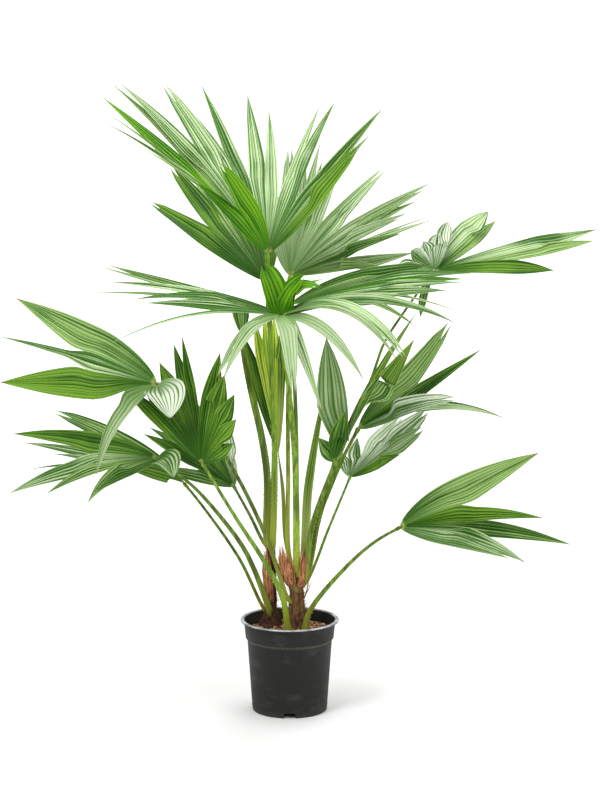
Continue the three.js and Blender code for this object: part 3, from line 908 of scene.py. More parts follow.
def spiner() -> Grower:
    """Builds the tree that sets small hooked spines along both margins of a leafstalk.

    Returns:
        The tree, with inputs Spacing, Length, Seed and Material.
    """
    made = Grower("margin_spines", Spacing=FLOAT, Length=FLOAT, Seed=INTEGER, Material=MATERIAL)
    margin, stray = 0.94, 0.003                # share of the half width out, and metres along the margin
    shortest, longest = 0.35, 1.3              # over the length that is given
    path = made.line()
    cone = made.add("GeometryNodeMeshCone", {"Vertices": 4, "Radius Bottom": 0.26, "Depth": 1.0}).outputs[0]
    both = made.add("GeometryNodeJoinGeometry")
    for salt, side in ((1, 1.0), (2, -1.0)):
        stations = {"Curve": path, "Length": made.given["Spacing"]}
        walk = made.add("GeometryNodeCurveToPoints", stations, mode="LENGTH").outputs
        out = made.vector("CROSS_PRODUCT", walk["Tangent"], walk["Normal"])
        shift = made.lengthened(out, made.product(made.named("radius"), side * margin))
        jitter = made.lengthened(walk["Tangent"], made.random(-stray, stray, salt + 8))
        offset = made.vector("ADD", shift, jitter)
        moved = made.add("GeometryNodeSetPosition", {0: walk["Points"], "Offset": offset}).outputs[0]
        lean = made.vector("MULTIPLY_ADD", out, (side, side, side),
                           made.vector("MULTIPLY", walk["Tangent"], (0.5, 0.5, 0.5)))
        turn = made.add("FunctionNodeAlignRotationToVector", {"Vector": lean}, axis="Z").outputs[0]
        size = made.product(made.random(shortest, longest, salt), made.given["Length"])
        made.tree.links.new(made.set_out(moved, cone, turn, size), both.inputs[0])
    made.ended(both.outputs[0])
    return made


def strewer() -> Grower:
    """Builds the tree that strews bark chips over a surface.

    Returns:
        The tree, with inputs Density, Size, Seed and Material.
    """
    made = Grower("strewn_chips", Density=FLOAT, Size=FLOAT, Seed=INTEGER, Material=MATERIAL)
    ball = made.add("GeometryNodeMeshIcoSphere", {"Radius": 1.0, "Subdivisions": 1}).outputs[0]
    rough = made.add("ShaderNodeTexNoise", {"Scale": 1.7, "Detail": 1.0}).outputs["Color"]
    push = made.vector("MULTIPLY", made.vector("SUBTRACT", rough, (0.5, 0.5, 0.5)), (1.4, 1.4, 1.4))
    chip = made.add("GeometryNodeSetPosition", {0: ball, "Offset": push}).outputs[0]
    least, most = (0.5, 0.25, 0.15), (1.5, 0.9, 0.5)           # a chip's sides over the size that is given
    tilt = made.random((-0.7, -0.7, 0.0), (0.7, 0.7, 6.28), 3)
    turn = made.add("FunctionNodeEulerToRotation", {0: tilt}).outputs[0]
    size = made.lengthened(made.random(least, most, 5), made.given["Size"])
    made.ended(made.set_out(made.scattered()["Points"], chip, turn, size))
    return made


def bristler() -> Grower:
    """Builds the tree that grows loose curved fibres from a surface.

    Returns:
        The tree, with inputs Density, Length, Thickness, Rise, Seed and Material.
    """
    made = Grower("loose_fibres", Density=FLOAT, Length=FLOAT, Thickness=FLOAT, Rise=FLOAT, Seed=INTEGER,
                  Material=MATERIAL)
    spots = made.scattered()
    thinning = 0.85                            # how much of its thickness a fibre loses by its tip
    shortest, longest = 0.4, 1.4               # over the length that is given
    bend = made.add("GeometryNodeCurvePrimitiveBezierSegment", {
        "Resolution": 4, "Start": (0, 0, 0), "Start Handle": (0.0, 0.0, 0.4), "End Handle": (0.16, 0.0, 0.7),
        "End": (0.34, 0.05, 0.95)}).outputs[0]
    circle = {"Resolution": 3, "Radius": made.given["Thickness"]}
    thin = made.add("GeometryNodeCurvePrimitiveCircle", circle).outputs[0]
    gone = made.add("GeometryNodeSplineParameter").outputs[0]
    taper = made.sum("SUBTRACT", 1.0, made.product(gone, thinning))
    strand = {"Curve": bend, "Profile Curve": thin, "Scale": taper}
    hair = made.add("GeometryNodeCurveToMesh", strand).outputs[0]
    up = made.add("ShaderNodeCombineXYZ", {2: made.given["Rise"]}).outputs[0]
    lean = made.vector("ADD", made.vector("ADD", spots["Normal"], up),
                       made.random((-0.7, -0.7, -0.5), (0.7, 0.7, 0.5), 7))
    turn = made.add("FunctionNodeAlignRotationToVector", {"Vector": lean}, axis="Z").outputs[0]
    spin = made.random((0.0, 0.0, 0.0), (0.0, 0.0, 6.28), 11)
    spin = made.add("FunctionNodeEulerToRotation", {0: spin}).outputs[0]
    turn = made.add("FunctionNodeRotateRotation", {0: turn, 1: spin}, rotation_space="LOCAL").outputs[0]
    size = made.product(made.random(shortest, longest, 13), made.given["Length"])
    made.ended(made.set_out(spots["Points"], hair, turn, size))
    return made


# ---- The plant's tables ----
class Leaflet(NamedTuple):
    """One leaflet: its tip from the hub, width, rise and sweep of its arch, and how late it narrows."""

    x: float
    y: float
    z: float
    width: float
    rise: float
    sweep: float = 0.0
    taper: float = 1.7


def spray(*rows: tuple[float, ...]) -> tuple[Leaflet, ...]:
    """Returns the leaflets of one spray, in order round the fan."""
    return tuple(Leaflet(*row) for row in rows)


@dataclass(frozen=True)
class Frond:
    """One frond.

    Attributes:
        name: The frond's name.
        stalk: Course of the stalk from the stem to the hub.
        width: Of the stalk, at its foot and at the hub.
        hub: Where the leaflets meet.
        faces: The way the upper side looks.
        joined: Share of their length over which neighbouring leaflets are joined.
        leaf: Finish of the upper side.
        sprays: Its leaflets, with an open gap between one spray and the next.
        accents: Other finishes, each with the leaflets that have it, by spray and place; most are lit and
            shaded copies of the green, which paint light and shade on single leaflets.
        green: Finish of the stalk.
        thorny: Whether the stalk's margins carry spines.
        pointed: Whether its broad leaflets end in one point, and not in a cleft tip.
    """

    name: str
    stalk: tuple[tuple[float, float, float], ...]
    width: tuple[float, float]
    hub: tuple[float, float, float]
    faces: tuple[float, float, float]
    joined: float
    leaf: Leaf
    sprays: tuple[tuple[Leaflet, ...], ...]
    accents: dict[Leaf, tuple[tuple[int, int], ...]] = field(default_factory=dict)
    green: StalkGreen = StalkGreen.GREEN
    thorny: bool = False
    pointed: bool = False

    def finish(self, spray: int, place: int) -> Leaf:
        """Returns the finish of one leaflet, by its spray and its place in it."""
        return next((leaf for leaf, spots in self.accents.items() if (spray, place) in spots), self.leaf)


FRONDS = (
    Frond(
        "top",
        stalk=((-37, 14, 349), (-31, 0, 534), (-38, -31, 716), (-41, -48, 888)),
        width=(15, 8), hub=(-45, -56, 986), faces=(0, -0.8, 0.6), joined=0.42,
        leaf=Leaf.BLOOM_AND_SHEEN, thorny=True,
        accents={Leaf.BRIGHT: ((0, 4), (1, 0), (1, 1)), Leaf.MID: ((0, 0), (0, 1), (0, 3), (0, 5), (0, 15)),
                 Leaf.DEEP: ((0, 17),)},
        sprays=(
            spray((-252, -70, 222, 9, 16), (-263, -26, 229, 9, 16), (-335, 12, 268, 10, 23),
                  (-335, 43, 287, 9, 16), (-340, 82, 314, 35, 9), (-323, 139, 337, 26, 16),
                  (-307, 127, 341, 34, 19), (-223, 212, 337, 46, 10), (-188, 237, 299, 30, 21),
                  (-143, 265, 329, 32, 9), (-46, 308, 308, 38, 7), (0, 307, 273, 30, 7, 6),
                  (109, 281, 284, 20, 15), (141, 253, 294, 28, 17), (241, 180, 286, 31, 9),
                  (227, 142, 271, 28, 9), (211, 84, 236, 34, 6), (185, 28, 214, 40, 1)),
            spray((-138, -99, 152, 32, 6), (-92, -127, 191, 46, 12)),
        ),
    ),
    Frond(
        "behind_right",
        stalk=((-2, 12, 338), (-3, 31, 505), (-4, 59, 646), (-1, 81, 779)),
        width=(11, 8), hub=(0, 98, 921), faces=(-0.2, -0.8, 0.57), joined=0.45,
        leaf=Leaf.PALE, green=StalkGreen.LIGHT,
        accents={Leaf.BLOOM_AND_SHEEN: ((0, 1), (0, 4), (0, 7), (0, 12), (0, 14)),
                 Leaf.MID: ((0, 10), (0, 15), (0, 17))},
        sprays=(
            spray((-46, 182, 176, 44, 2), (0, 210, 252, 46, 4), (35, 238, 231, 32, 6),
                  (66, 238, 261, 25, 6), (71, 224, 226, 26, 6), (106, 224, 200, 38, 6),
                  (203, 210, 211, 27, 12), (208, 189, 206, 30, 6), (304, 168, 181, 31, 12),
                  (288, 140, 167, 30, 10), (273, 119, 147, 30, 10), (252, 84, 123, 32, 12),
                  (232, 56, 114, 26, 10), (302, 28, 124, 7, 6), (297, 14, 115, 17, 6),
                  (236, -14, 90, 30, 8), (261, -7, 49, 38, -2), (186, -21, 22, 36, 12)),
        ),
    ),
    Frond(
        "behind_left",
        stalk=((-42, 43, 348), (-34, 70, 522), (-39, 126, 691)),
        width=(12, 8), hub=(-51, 182, 898), faces=(0.25, -0.6, 0.76), joined=0.5,
        leaf=Leaf.DEEP,
        accents={Leaf.MID: ((0, 2),)},
        sprays=(
            spray((-248, 56, 165, 58, 5), (-208, 126, 234, 50, -2), (-168, 168, 223, 42, 4),
                  (-118, 196, 202, 40, 4), (-62, 210, 166, 42, 4), (5, 182, 146, 46, 2)),
        ),
    ),
    Frond(
        "front",
        stalk=((14, -8, 294), (12, -65, 547), (1, -115, 690)),
        width=(16, 10), hub=(-15, -154, 870), faces=(0, -0.55, 0.83), joined=0.25,
        leaf=Leaf.BLOOM_AND_SHEEN, thorny=True,
        accents={Leaf.BRIGHT: ((6, 0), (7, 0), (8, 0), (8, 1)), Leaf.MID: ((0, 3), (0, 6)),
                 Leaf.PALE: ((1, 0), (1, 1), (2, 0), (2, 1), (3, 0), (4, 0))},
        sprays=(
            spray((-334, -154, -33, 12, 30), (-271, -56, 32, 36, 8), (-297, -14, 35, 36, 22),
                  (-382, 14, 44, 12, 14), (-348, 42, 63, 28, 14), (-378, 70, 92, 20, -2),
                  (-354, 98, 91, 34, -3)),
            spray((-111, -280, -86, 30, 38), (-124, -238, -88, 36, 31)),
            spray((25, -350, -102, 40, 45), (79, -336, -141, 30, 50, 12)),
            spray((159, -266, -87, 34, 37)),
            spray((226, -182, -61, 24, 58), (246, -154, -67, 40, 62)),
            spray((347, -42, -8, 34, 42)),
            spray((-36, -11, 105, 54, 5, 0, 5)),
            spray((46, -32, 84, 52, 12, 0, 5)),
            spray((78, -34, 63, 48, 30, 0, 3), (85, 42, 68, 20, 18)),
        ),
    ),
    Frond(
        "right_low_fan",
        stalk=((12, 32, 318), (15, 37, 504), (12, 31, 664)),
        width=(11, 8), hub=(0, 14, 868), faces=(0, -0.75, 0.66), joined=0.5,
        leaf=Leaf.BLOOM_AND_SHEEN,
        accents={Leaf.MID: ((0, 0), (0, 7)), Leaf.BRIGHT: ((0, 5),)},
        sprays=(
            spray((259, -106, -29, 18, 40), (229, -70, 15, 36, 8), (359, -70, -8, 8, 34),
                  (324, -56, 38, 34, 10), (355, -35, 53, 26, 14), (365, -17, 57, 26, 16),
                  (380, 0, 68, 32, 20), (301, 21, 78, 44, 16)),
        ),
    ),
    Frond(
        "far_right",
        stalk=((36, 18, 289), (62, 28, 403), (100, 43, 524), (175, 73, 707), (201, 81, 779),
               (243, 90, 844)),
        width=(11, 5), hub=(306, 98, 931), faces=(-0.2, -0.8, 0.57), joined=0.64,
        leaf=Leaf.MID, green=StalkGreen.DARK, pointed=True,
        accents={Leaf.PAINTED_LIGHT: ((0, 1), (0, 2), (0, 3), (0, 4), (0, 5), (0, 6)),
                 Leaf.BLOOM_AND_SHEEN: ((1, 0), (2, 0)), Leaf.DEEP: ((3, 0),)},
        sprays=(
            spray((-30, -44, -93, 18, 11), (-73, -40, -9, 20, 2, 0, 3), (-77, -37, 14, 30, 7, 0, 3),
                  (-51, -19, 44, 36, 3, 0, 3), (-23, -5, 62, 36, 3, 0, 3), (8, 18, 77, 37, 4, 0, 3),
                  (31, 50, 99, 36, 3, 0, 3)),
            spray((121, 96, 117, 54, 5), (137, 106, 94, 33, -1)),
            spray((354, 98, 78, 42, -1), (345, 56, 57, 32, 3)),
            spray((251, -27, 4, 34, 8)),
        ),
    ),
    Frond(
        "young_centre",
        stalk=((-8, 27, 357), (-15, 25, 477)),
        width=(8, 8), hub=(-24, 19, 553), faces=(0, -1, 0.1), joined=0.7,
        leaf=Leaf.YOUNG, green=StalkGreen.LIGHT,
        accents={Leaf.DEEP: ((0, 0),), Leaf.FOLDED: ((0, 4),)},
        sprays=(
            spray((-74, 45, 246, 26, 0), (-50, 32, 280, 24, 0), (-30, 22, 290, 22, 0), (-9, 14, 290, 24, 0),
                  (5, 8, 262, 24, 0)),
        ),
    ),
    Frond(
        "young_left",
        stalk=((-47, 27, 354), (-48, 24, 506), (-60, 18, 592), (-79, 12, 679), (-92, 6, 749)),
        width=(17, 15), hub=(-99, 0, 806), faces=(-0.3, -1, 0.1), joined=0.7,
        leaf=Leaf.MID, green=StalkGreen.DARK, thorny=True,
        sprays=(
            spray((-19, 0, 61, 13, 0), (-5, 4, 67, 19, 0), (10, 4, 60, 17, 0)),
        ),
    ),
    Frond(
        "left_upper",
        stalk=((-4, -14, 244), (-25, -14, 308), (-53, -13, 387), (-104, -10, 496), (-142, 0, 560),
               (-211, 40, 643), (-267, 26, 695)),
        width=(12, 6), hub=(-274, -81, 718), faces=(0.2, -0.87, 0.45), joined=0.4,
        leaf=Leaf.MID, green=StalkGreen.DARK, pointed=True,
        accents={Leaf.PALE: ((0, 0),), Leaf.DEEP: ((0, 1),), Leaf.BLOOM_AND_SHEEN: ((0, 2),), Leaf.PAINTED_LIGHT: ((1, 0),)},
        sprays=(
            spray((-117, -120, -168, 28, 36), (-323, 0, 2, 76, 2), (-330, 42, 93, 18, 6),
                  (-296, 84, 166, 74, 5)),
            spray((31, -70, -61, 84, 26, 0, 1.9)),
        ),
    ),
    Frond(
        "left_front",
        stalk=((-3, -22, 172), (-15, -40, 254), (-52, -59, 334), (-111, -84, 434)),
        width=(15, 6), hub=(-180, -104, 555), faces=(0.2, -1, 0.4), joined=0.58,
        leaf=Leaf.DEEP, thorny=True, pointed=True,
        sprays=(
            spray((-177, 110, 150, 30, 4), (-137, 117, 174, 48, 4), (-92, 103, 195, 52, 4),
                  (-61, 82, 236, 30, 2), (-42, 54, 257, 22, 0)),
            spray((38, -2, 230, 40, 4), (48, -37, 191, 50, 4), (68, -51, 152, 44, 2), (72, -44, 100, 38, 2),
                  (64, -23, 45, 30, 0)),
        ),
    ),
    Frond(
        "left_middle",
        stalk=((-42, 8, 210), (-75, -8, 306), (-103, -15, 364), (-188, -45, 480), (-233, -60, 524)),
        width=(16, 6), hub=(-274, -69, 558), faces=(0.2, -0.8, 0.57), joined=0.4,
        leaf=Leaf.MID, green=StalkGreen.DARK, pointed=True,
        accents={Leaf.BLOOM_AND_SHEEN: ((0, 3), (1, 0)), Leaf.DEEP: ((0, 4),)},
        sprays=(
            spray((-124, -101, -52, 34, 12), (-140, -68, -78, 32, 23), (-230, -18, -71, 26, 21),
                  (-309, 18, -77, 42, 19), (-306, 57, 42, 44, 13)),
            spray((36, -63, -27, 63, 21)),
        ),
    ),
    Frond(
        "left_low_back",
        stalk=((-55, 34, 210), (-107, 42, 317), (-182, 62, 423)),
        width=(9, 6), hub=(-226, 75, 476), faces=(0.2, -0.8, 0.57), joined=0.4,
        leaf=Leaf.MID, green=StalkGreen.DARK,
        accents={Leaf.BLOOM_AND_SHEEN: ((0, 1), (0, 2), (0, 3))},
        sprays=(
            spray((-125, -22, 40, 30, 4), (-331, 4, 29, 10, 24), (-282, 34, 58, 20, 10),
                  (-348, 63, 76, 28, 12), (-284, 93, 140, 44, 14)),
        ),
    ),
    Frond(
        "left_back",
        stalk=((-55, 41, 353), (-85, 87, 402)),
        width=(9, 6), hub=(-121, 146, 454), faces=(0.2, -0.8, 0.55), joined=0.5,
        leaf=Leaf.DEEP, green=StalkGreen.DARK,
        accents={Leaf.MID: ((0, 0),), Leaf.PAINTED_LIGHT: ((0, 5), (0, 6), (0, 7))},
        sprays=(
            spray((-161, -3, 43, 28, 2), (-198, 62, 104, 34, 6), (-188, 105, 112, 32, 6),
                  (-138, 148, 140, 32, 4), (-93, 176, 164, 30, 2), (-47, 176, 149, 30, 2),
                  (-19, 148, 120, 28, 2), (-9, 96, 65, 22, 0)),
        ),
    ),
    Frond(
        "right_low",
        stalk=((30, -22, 172), (43, -30, 222), (126, -53, 330), (181, -73, 383)),
        width=(14, 6), hub=(230, -90, 416), faces=(-0.2, -0.85, 0.5), joined=0.35,
        leaf=Leaf.MID, green=StalkGreen.DARK, thorny=True, pointed=True,
        accents={Leaf.DEEP: ((0, 1),), Leaf.BLOOM_AND_SHEEN: ((0, 3), (0, 4))},
        sprays=(
            spray((289, 35, 151, 68, 6), (299, 21, 15, 36, 18), (360, 48, -47, 40, 16),
                  (255, -55, -61, 42, 20), (219, -89, -45, 34, 6)),
        ),
    ),
    Frond(
        "right_front",
        stalk=((30, -12, 284), (47, -36, 405)),
        width=(14, 9), hub=(95, -110, 560), faces=(-0.2, -1, 0.2), joined=0.4,
        leaf=Leaf.MID, green=StalkGreen.DARK, thorny=True, pointed=True,
        accents={Leaf.PALE: ((0, 1),), Leaf.DEEP: ((1, 0),)},
        sprays=(
            spray((-34, 12, 47, 34, 0), (-19, -19, 260, 64, 3, 0, 2.2)),
            spray((19, -60, 114, 42, 4), (160, -12, 255, 56, 1), (165, -3, 310, 18, 10)),
        ),
    ),
    Frond(
        "right_middle",
        stalk=((34, 10, 284), (58, 9, 404), (83, 7, 472), (116, 4, 552)),
        width=(12, 8), hub=(145, 0, 609), faces=(-0.3, -0.8, 0.52), joined=0.35,
        leaf=Leaf.MID, green=StalkGreen.DARK, thorny=True,
        accents={Leaf.DEEP: ((0, 1),), Leaf.BLOOM_AND_SHEEN: ((0, 2),), Leaf.PAINTED_LIGHT: ((0, 3),)},
        sprays=(
            spray((191, 42, 218, 58, -10), (261, 70, 157, 34, -2), (311, 56, 12, 26, 38),
                  (198, -98, 80, 46, 16)),
        ),
    ),
    Frond(
        "right_back",
        stalk=((34, 24, 268), (86, 56, 388)),
        width=(8, 5), hub=(130, 102, 485), faces=(-0.2, -0.85, 0.5), joined=0.5,
        leaf=Leaf.MID,
        accents={Leaf.PAINTED_LIGHT: ((0, 0), (0, 1), (0, 2), (0, 3)), Leaf.PALE: ((0, 4),), Leaf.DEEP: ((0, 5),)},
        sprays=(
            spray((-20, -7, 54, 26, 0), (16, 51, 76, 30, 0), (112, 94, 112, 40, 8), (167, 66, 131, 56, 0),
                  (157, 24, 102, 44, 0), (106, -20, 52, 30, 4)),
        ),
    ),
)

SPEAR_PATH = ((26, 1, 298), (39, -13, 480), (58, -20, 609), (76, -22, 703))
SPEAR_WIDTHS = (19, 19, 4)
FRONT = (0, -1, 0)
STEM_TOPS = {(-40, 26): 180, (13, 8): 118}     # axis at the top, and height over the soil
SOIL_TOP = 176
ROOTING = 14                                   # a stalk starts this far below its foot, on its stem's axis
BLADE_SEED = 400
CLEFT_WIDTH = 40                               # leaflets as broad as this end in a cleft tip
PARTING = 1.25                                 # neighbours part where this many times their width apart

# Flanks of pleats that a leaflet has, each with the width under which it has them.
FLANKS = ((2, 12), (4, 18), (6, 26), (8, 34), (10, 44), (12, 56), (14, 66), (18, math.inf))


def rooted(course: Sequence[tuple[float, float, float]]) -> list[tuple[float, float, float]]:
    """Starts a stalk's course on the axis of the nearest stem, unless it rises from the soil.

    Args:
        course: The course from its foot up.

    Returns:
        The course with its root.
    """
    x, y, z = course[0]
    if z < SOIL_TOP:
        return list(course)
    top = min(STEM_TOPS, key=lambda axis: math.dist(axis, (x, y)))
    return [(*top, min(z, SOIL_TOP + STEM_TOPS[top]) - ROOTING), *course]


# ---- Fronds ----
@dataclass
class Blade:
    """The fan of one frond: leaflets folded into pleats, joined round the hub and parted further out.

    Attributes:
        frond: Its place in the table.
        number: Its place in the table, which seeds its small differences.
        joined_rows: Rows of corners over the joined part.
        free_rows: Rows over the free part.
        pleat_depth: Height of a fold over the width of a pleat's flank.
        thickness: Of the leaf, in millimetres.
        tip: Half width of a leaflet's tip.
        spreading: How fast a leaflet widens from the hub: lower is faster.
        root: How far from the middle of the hub it starts.
        crowding: How much closer the rows stand toward the tip.
        blunt: How much of its width a leaflet with a cleft tip keeps at the tip.
        roll: Most that a leaflet turns about its length by its tip, in radians.
        lift: How far every other leaflet stands up at its tip, and the ones between them down.
        ripple, ripples: Depth of an edge's waves over the half width, and their pace along the leaflet.
        release: Share of the free length over which joined edges come apart.
        fold: Least and most depth of the fold along a leaflet's middle, over its half width.
        cleft: Earliest and latest start of a cleft, as a share of the free length.
        opening: How far a cleft opens, where 1 leaves each half a bare point.
    """

    frond: Frond
    number: int
    joined_rows: int = 10
    free_rows: int = 17
    pleat_depth: float = 0.23
    thickness: float = 0.6
    tip: float = 0.4
    spreading: float = 0.62
    root: float = 3.0
    crowding: float = 0.92
    blunt: float = 0.3
    roll: float = 0.32
    lift: float = 0.9
    ripple: float = 0.05
    ripples: float = 11
    release: float = 0.3
    fold: tuple[float, float] = (0.12, 0.42)
    cleft: tuple[float, float] = (0.74, 0.86)
    opening: float = 0.96

    @staticmethod
    def flanks(width: float) -> int:
        """Returns how many flanks of pleats a leaflet of this width has."""
        return next(count for count, most in FLANKS if width < most)

    def courses(self, leaflets: Sequence[Leaflet]) -> dict[str, np.ndarray]:
        """Lays the middle lines of a spray.

        Args:
            leaflets: The spray.

        Returns:
            Shares, middles, directions, upward and onward sides for each leaflet and row.
        """
        hub = np.array(self.frond.hub, float)
        facing = unit(np.array(self.frond.faces, float))
        tips = np.array([leaflet[:3] for leaflet in leaflets], float)
        last = len(leaflets) - 1
        near = np.linspace(0, 1, self.joined_rows)
        far = np.linspace(0, 1, self.free_rows + 1)[1:] ** self.crowding
        told: dict[str, list[np.ndarray]] = {"share": [], "middle": [], "along": [], "up": [], "across": []}
        for k, leaflet in enumerate(leaflets):
            curve = arched(hub, leaflet)
            start = self.root / curve.length
            share = np.concatenate([mixed(start, self.frond.joined, near), mixed(self.frond.joined, 1, far)])
            along = curve.along(share)
            across = unit(np.cross(along, facing))
            onward = tips[min(k + 1, last)] - tips[max(k - 1, 0)]
            across = across * np.where(across @ onward < 0, -1, 1)[:, None]
            up = unit(facing - along * (along @ facing)[:, None])
            for key, rows in zip(told, (share, curve.at(share), along, up, across)):
                told[key].append(rows)
        laid = {key: np.stack(rows) for key, rows in told.items()}
        laid["free"] = np.concatenate([np.zeros(self.joined_rows), far])
        return laid

    def edges(self, leaflets: Sequence[Leaflet], laid: dict[str, np.ndarray], rng: np.random.Generator
              ) -> tuple[np.ndarray, np.ndarray, np.ndarray]:
        """Finds both edges of each leaflet. Neighbours share theirs as far as they are joined.

        Args:
            leaflets: The spray.
            laid: Its middle lines.
            rng: Source of the small differences.

        Returns:
            The edges, the upward sides there, and each edge's share of a neighbour's width.
        """
        count, rows = laid["share"].shape
        free = laid["free"]
        widths = np.array([leaflet.width for leaflet in leaflets], float)[:, None]
        blunt = np.where((widths >= CLEFT_WIDTH) & (not self.frond.pointed), self.blunt, 0.0)
        spread = np.sin(np.minimum(1, laid["share"] / self.frond.joined) * np.pi / 2) ** self.spreading
        taper = np.array([leaflet.taper for leaflet in leaflets], float)[:, None]
        half = np.maximum(self.tip, widths / 2 * spread * (1 - free ** taper * (1 - blunt)))
        roll = rng.uniform(-self.roll, self.roll, (count, 1)) * free
        across, up = laid["across"], laid["up"]
        turned = across * np.cos(roll)[..., None] + up * np.sin(roll)[..., None]
        risen = up * np.cos(roll)[..., None] - across * np.sin(roll)[..., None]
        lift = (np.where(np.arange(count) % 2, 1.0, -1.0)[:, None] * self.lift * free)[..., None] * up
        wave = self.ripples * laid["share"] + rng.uniform(0, 6.28, (count, 1))
        own = np.stack([laid["middle"] + lift + turned * (side * half)[..., None]
                        + risen * (self.ripple * half * free * np.sin(wave + side))[..., None]
                        for side in (-1, 1)], 1)
        ups = np.stack([risen, risen], 1)
        spans = np.stack([2 * half, 2 * half], 1)
        laid["middle"] = laid["middle"] + lift
        for k in range(count - 1):
            apart = np.linalg.norm(laid["middle"][k] - laid["middle"][k + 1], axis=1)
            reach = PARTING * (widths[k, 0] + widths[k + 1, 0]) / 2
            wide = np.nonzero(apart[:self.joined_rows] >= reach)[0]
            joined = int(wide[0]) if len(wide) else self.joined_rows
            if joined == 0:
                continue
            share = laid["share"][k:k + 2]
            gone = (share - share[:, joined - 1:joined]) / (self.release * (1 - self.frond.joined))
            parted = np.where(np.arange(rows) < joined, 0.0, eased(gone))[..., None]
            middle = (laid["middle"][k] + laid["middle"][k + 1]) / 2
            raised = unit(up[k] + up[k + 1])
            width = np.linalg.norm(laid["middle"][k + 1] - laid["middle"][k], axis=1)
            for n, (leaf, side) in enumerate(((k, 1), (k + 1, 0))):
                own[leaf, side] = mixed(middle, own[leaf, side], parted[n])
                ups[leaf, side] = unit(mixed(raised, ups[leaf, side], parted[n]))
                spans[leaf, side] = mixed(width, spans[leaf, side], parted[n][:, 0])
        return own, ups, spans

    def spray(self, layout: Layout, place: int, leaflets: Sequence[Leaflet], finishes: list[Leaf],
              rng: np.random.Generator) -> None:
        """Lays one spray's leaflets into the piece.

        Args:
            layout: The piece.
            place: Which spray of the frond it is.
            leaflets: The spray.
            finishes: The piece's finishes, to which others are added.
            rng: Source of the small differences.
        """
        laid = self.courses(leaflets)
        edge, ups, spans = self.edges(leaflets, laid, rng)
        free = laid["free"]
        across, along, up = (laid[side][:, self.joined_rows] for side in ("across", "along", "up"))
        turns = np.einsum("kd,kd->k", np.cross(across, along), up)
        flip = bool(np.sum(np.sign(turns)) < 0)
        for k, leaflet in enumerate(leaflets):
            finish = self.frond.finish(place, k)
            if finish not in finishes:
                finishes.append(finish)
            count = self.flanks(leaflet.width)
            fold = rng.uniform(*self.fold) * np.linalg.norm(edge[k, 1] - edge[k, 0], axis=1) / 2
            cleft = leaflet.width >= CLEFT_WIDTH and not self.frond.pointed
            halves = ((0.0, 0.5), (0.5, 1.0)) if cleft else ((0.0, 1.0),)
            split = rng.uniform(*self.cleft)
            number = 1 + k + 31 * place + 97 * self.number      # chance deals the leaflet's tones by it
            for low, high in halves:
                steps = max(2, round(count * (high - low)))
                q = np.linspace(low, high, steps + 1)
                parting = np.clip((free - split) / (1 - split), 0, 1)[:, None] * self.opening * cleft
                seat = mixed(q[None, :], (low + high) / 2, parting)
                base = mixed(edge[k, 0][:, None], edge[k, 1][:, None], seat[..., None])
                raised = unit(mixed(ups[k, 0][:, None], ups[k, 1][:, None], seat[..., None]))
                span = mixed(spans[k, 0][:, None], spans[k, 1][:, None], q[None, :]) * (1 - parting)
                ridge = np.where(np.round(q * count) % 2 == 0, 1.0, -1.0)[None, :]
                height = ridge * self.pleat_depth * span / count - fold[:, None] * (1 - np.abs(2 * seat - 1))
                marks = np.broadcast_arrays(q[None, :] * count, laid["share"][k][:, None], float(number))
                corners = base + raised * height[..., None]
                layout.grid(corners, np.stack(marks, -1), finishes.index(finish), flip=flip)

    def piece(self) -> Piece:
        """Lays the sprays and gives the leaf its thickness.

        Returns:
            The fan as one piece.
        """
        rng = np.random.default_rng(BLADE_SEED + self.number)
        layout = Layout("fan_" + self.frond.name)
        finishes = [self.frond.leaf]
        for place, leaflets in enumerate(self.frond.sprays):
            self.spray(layout, place, leaflets, finishes, rng)
        materials = [DRESS[finish] for finish in finishes] + [DRESS[Leaf.UNDER]]
        return thickened(layout.built(materials, crease=16.0), self.thickness)


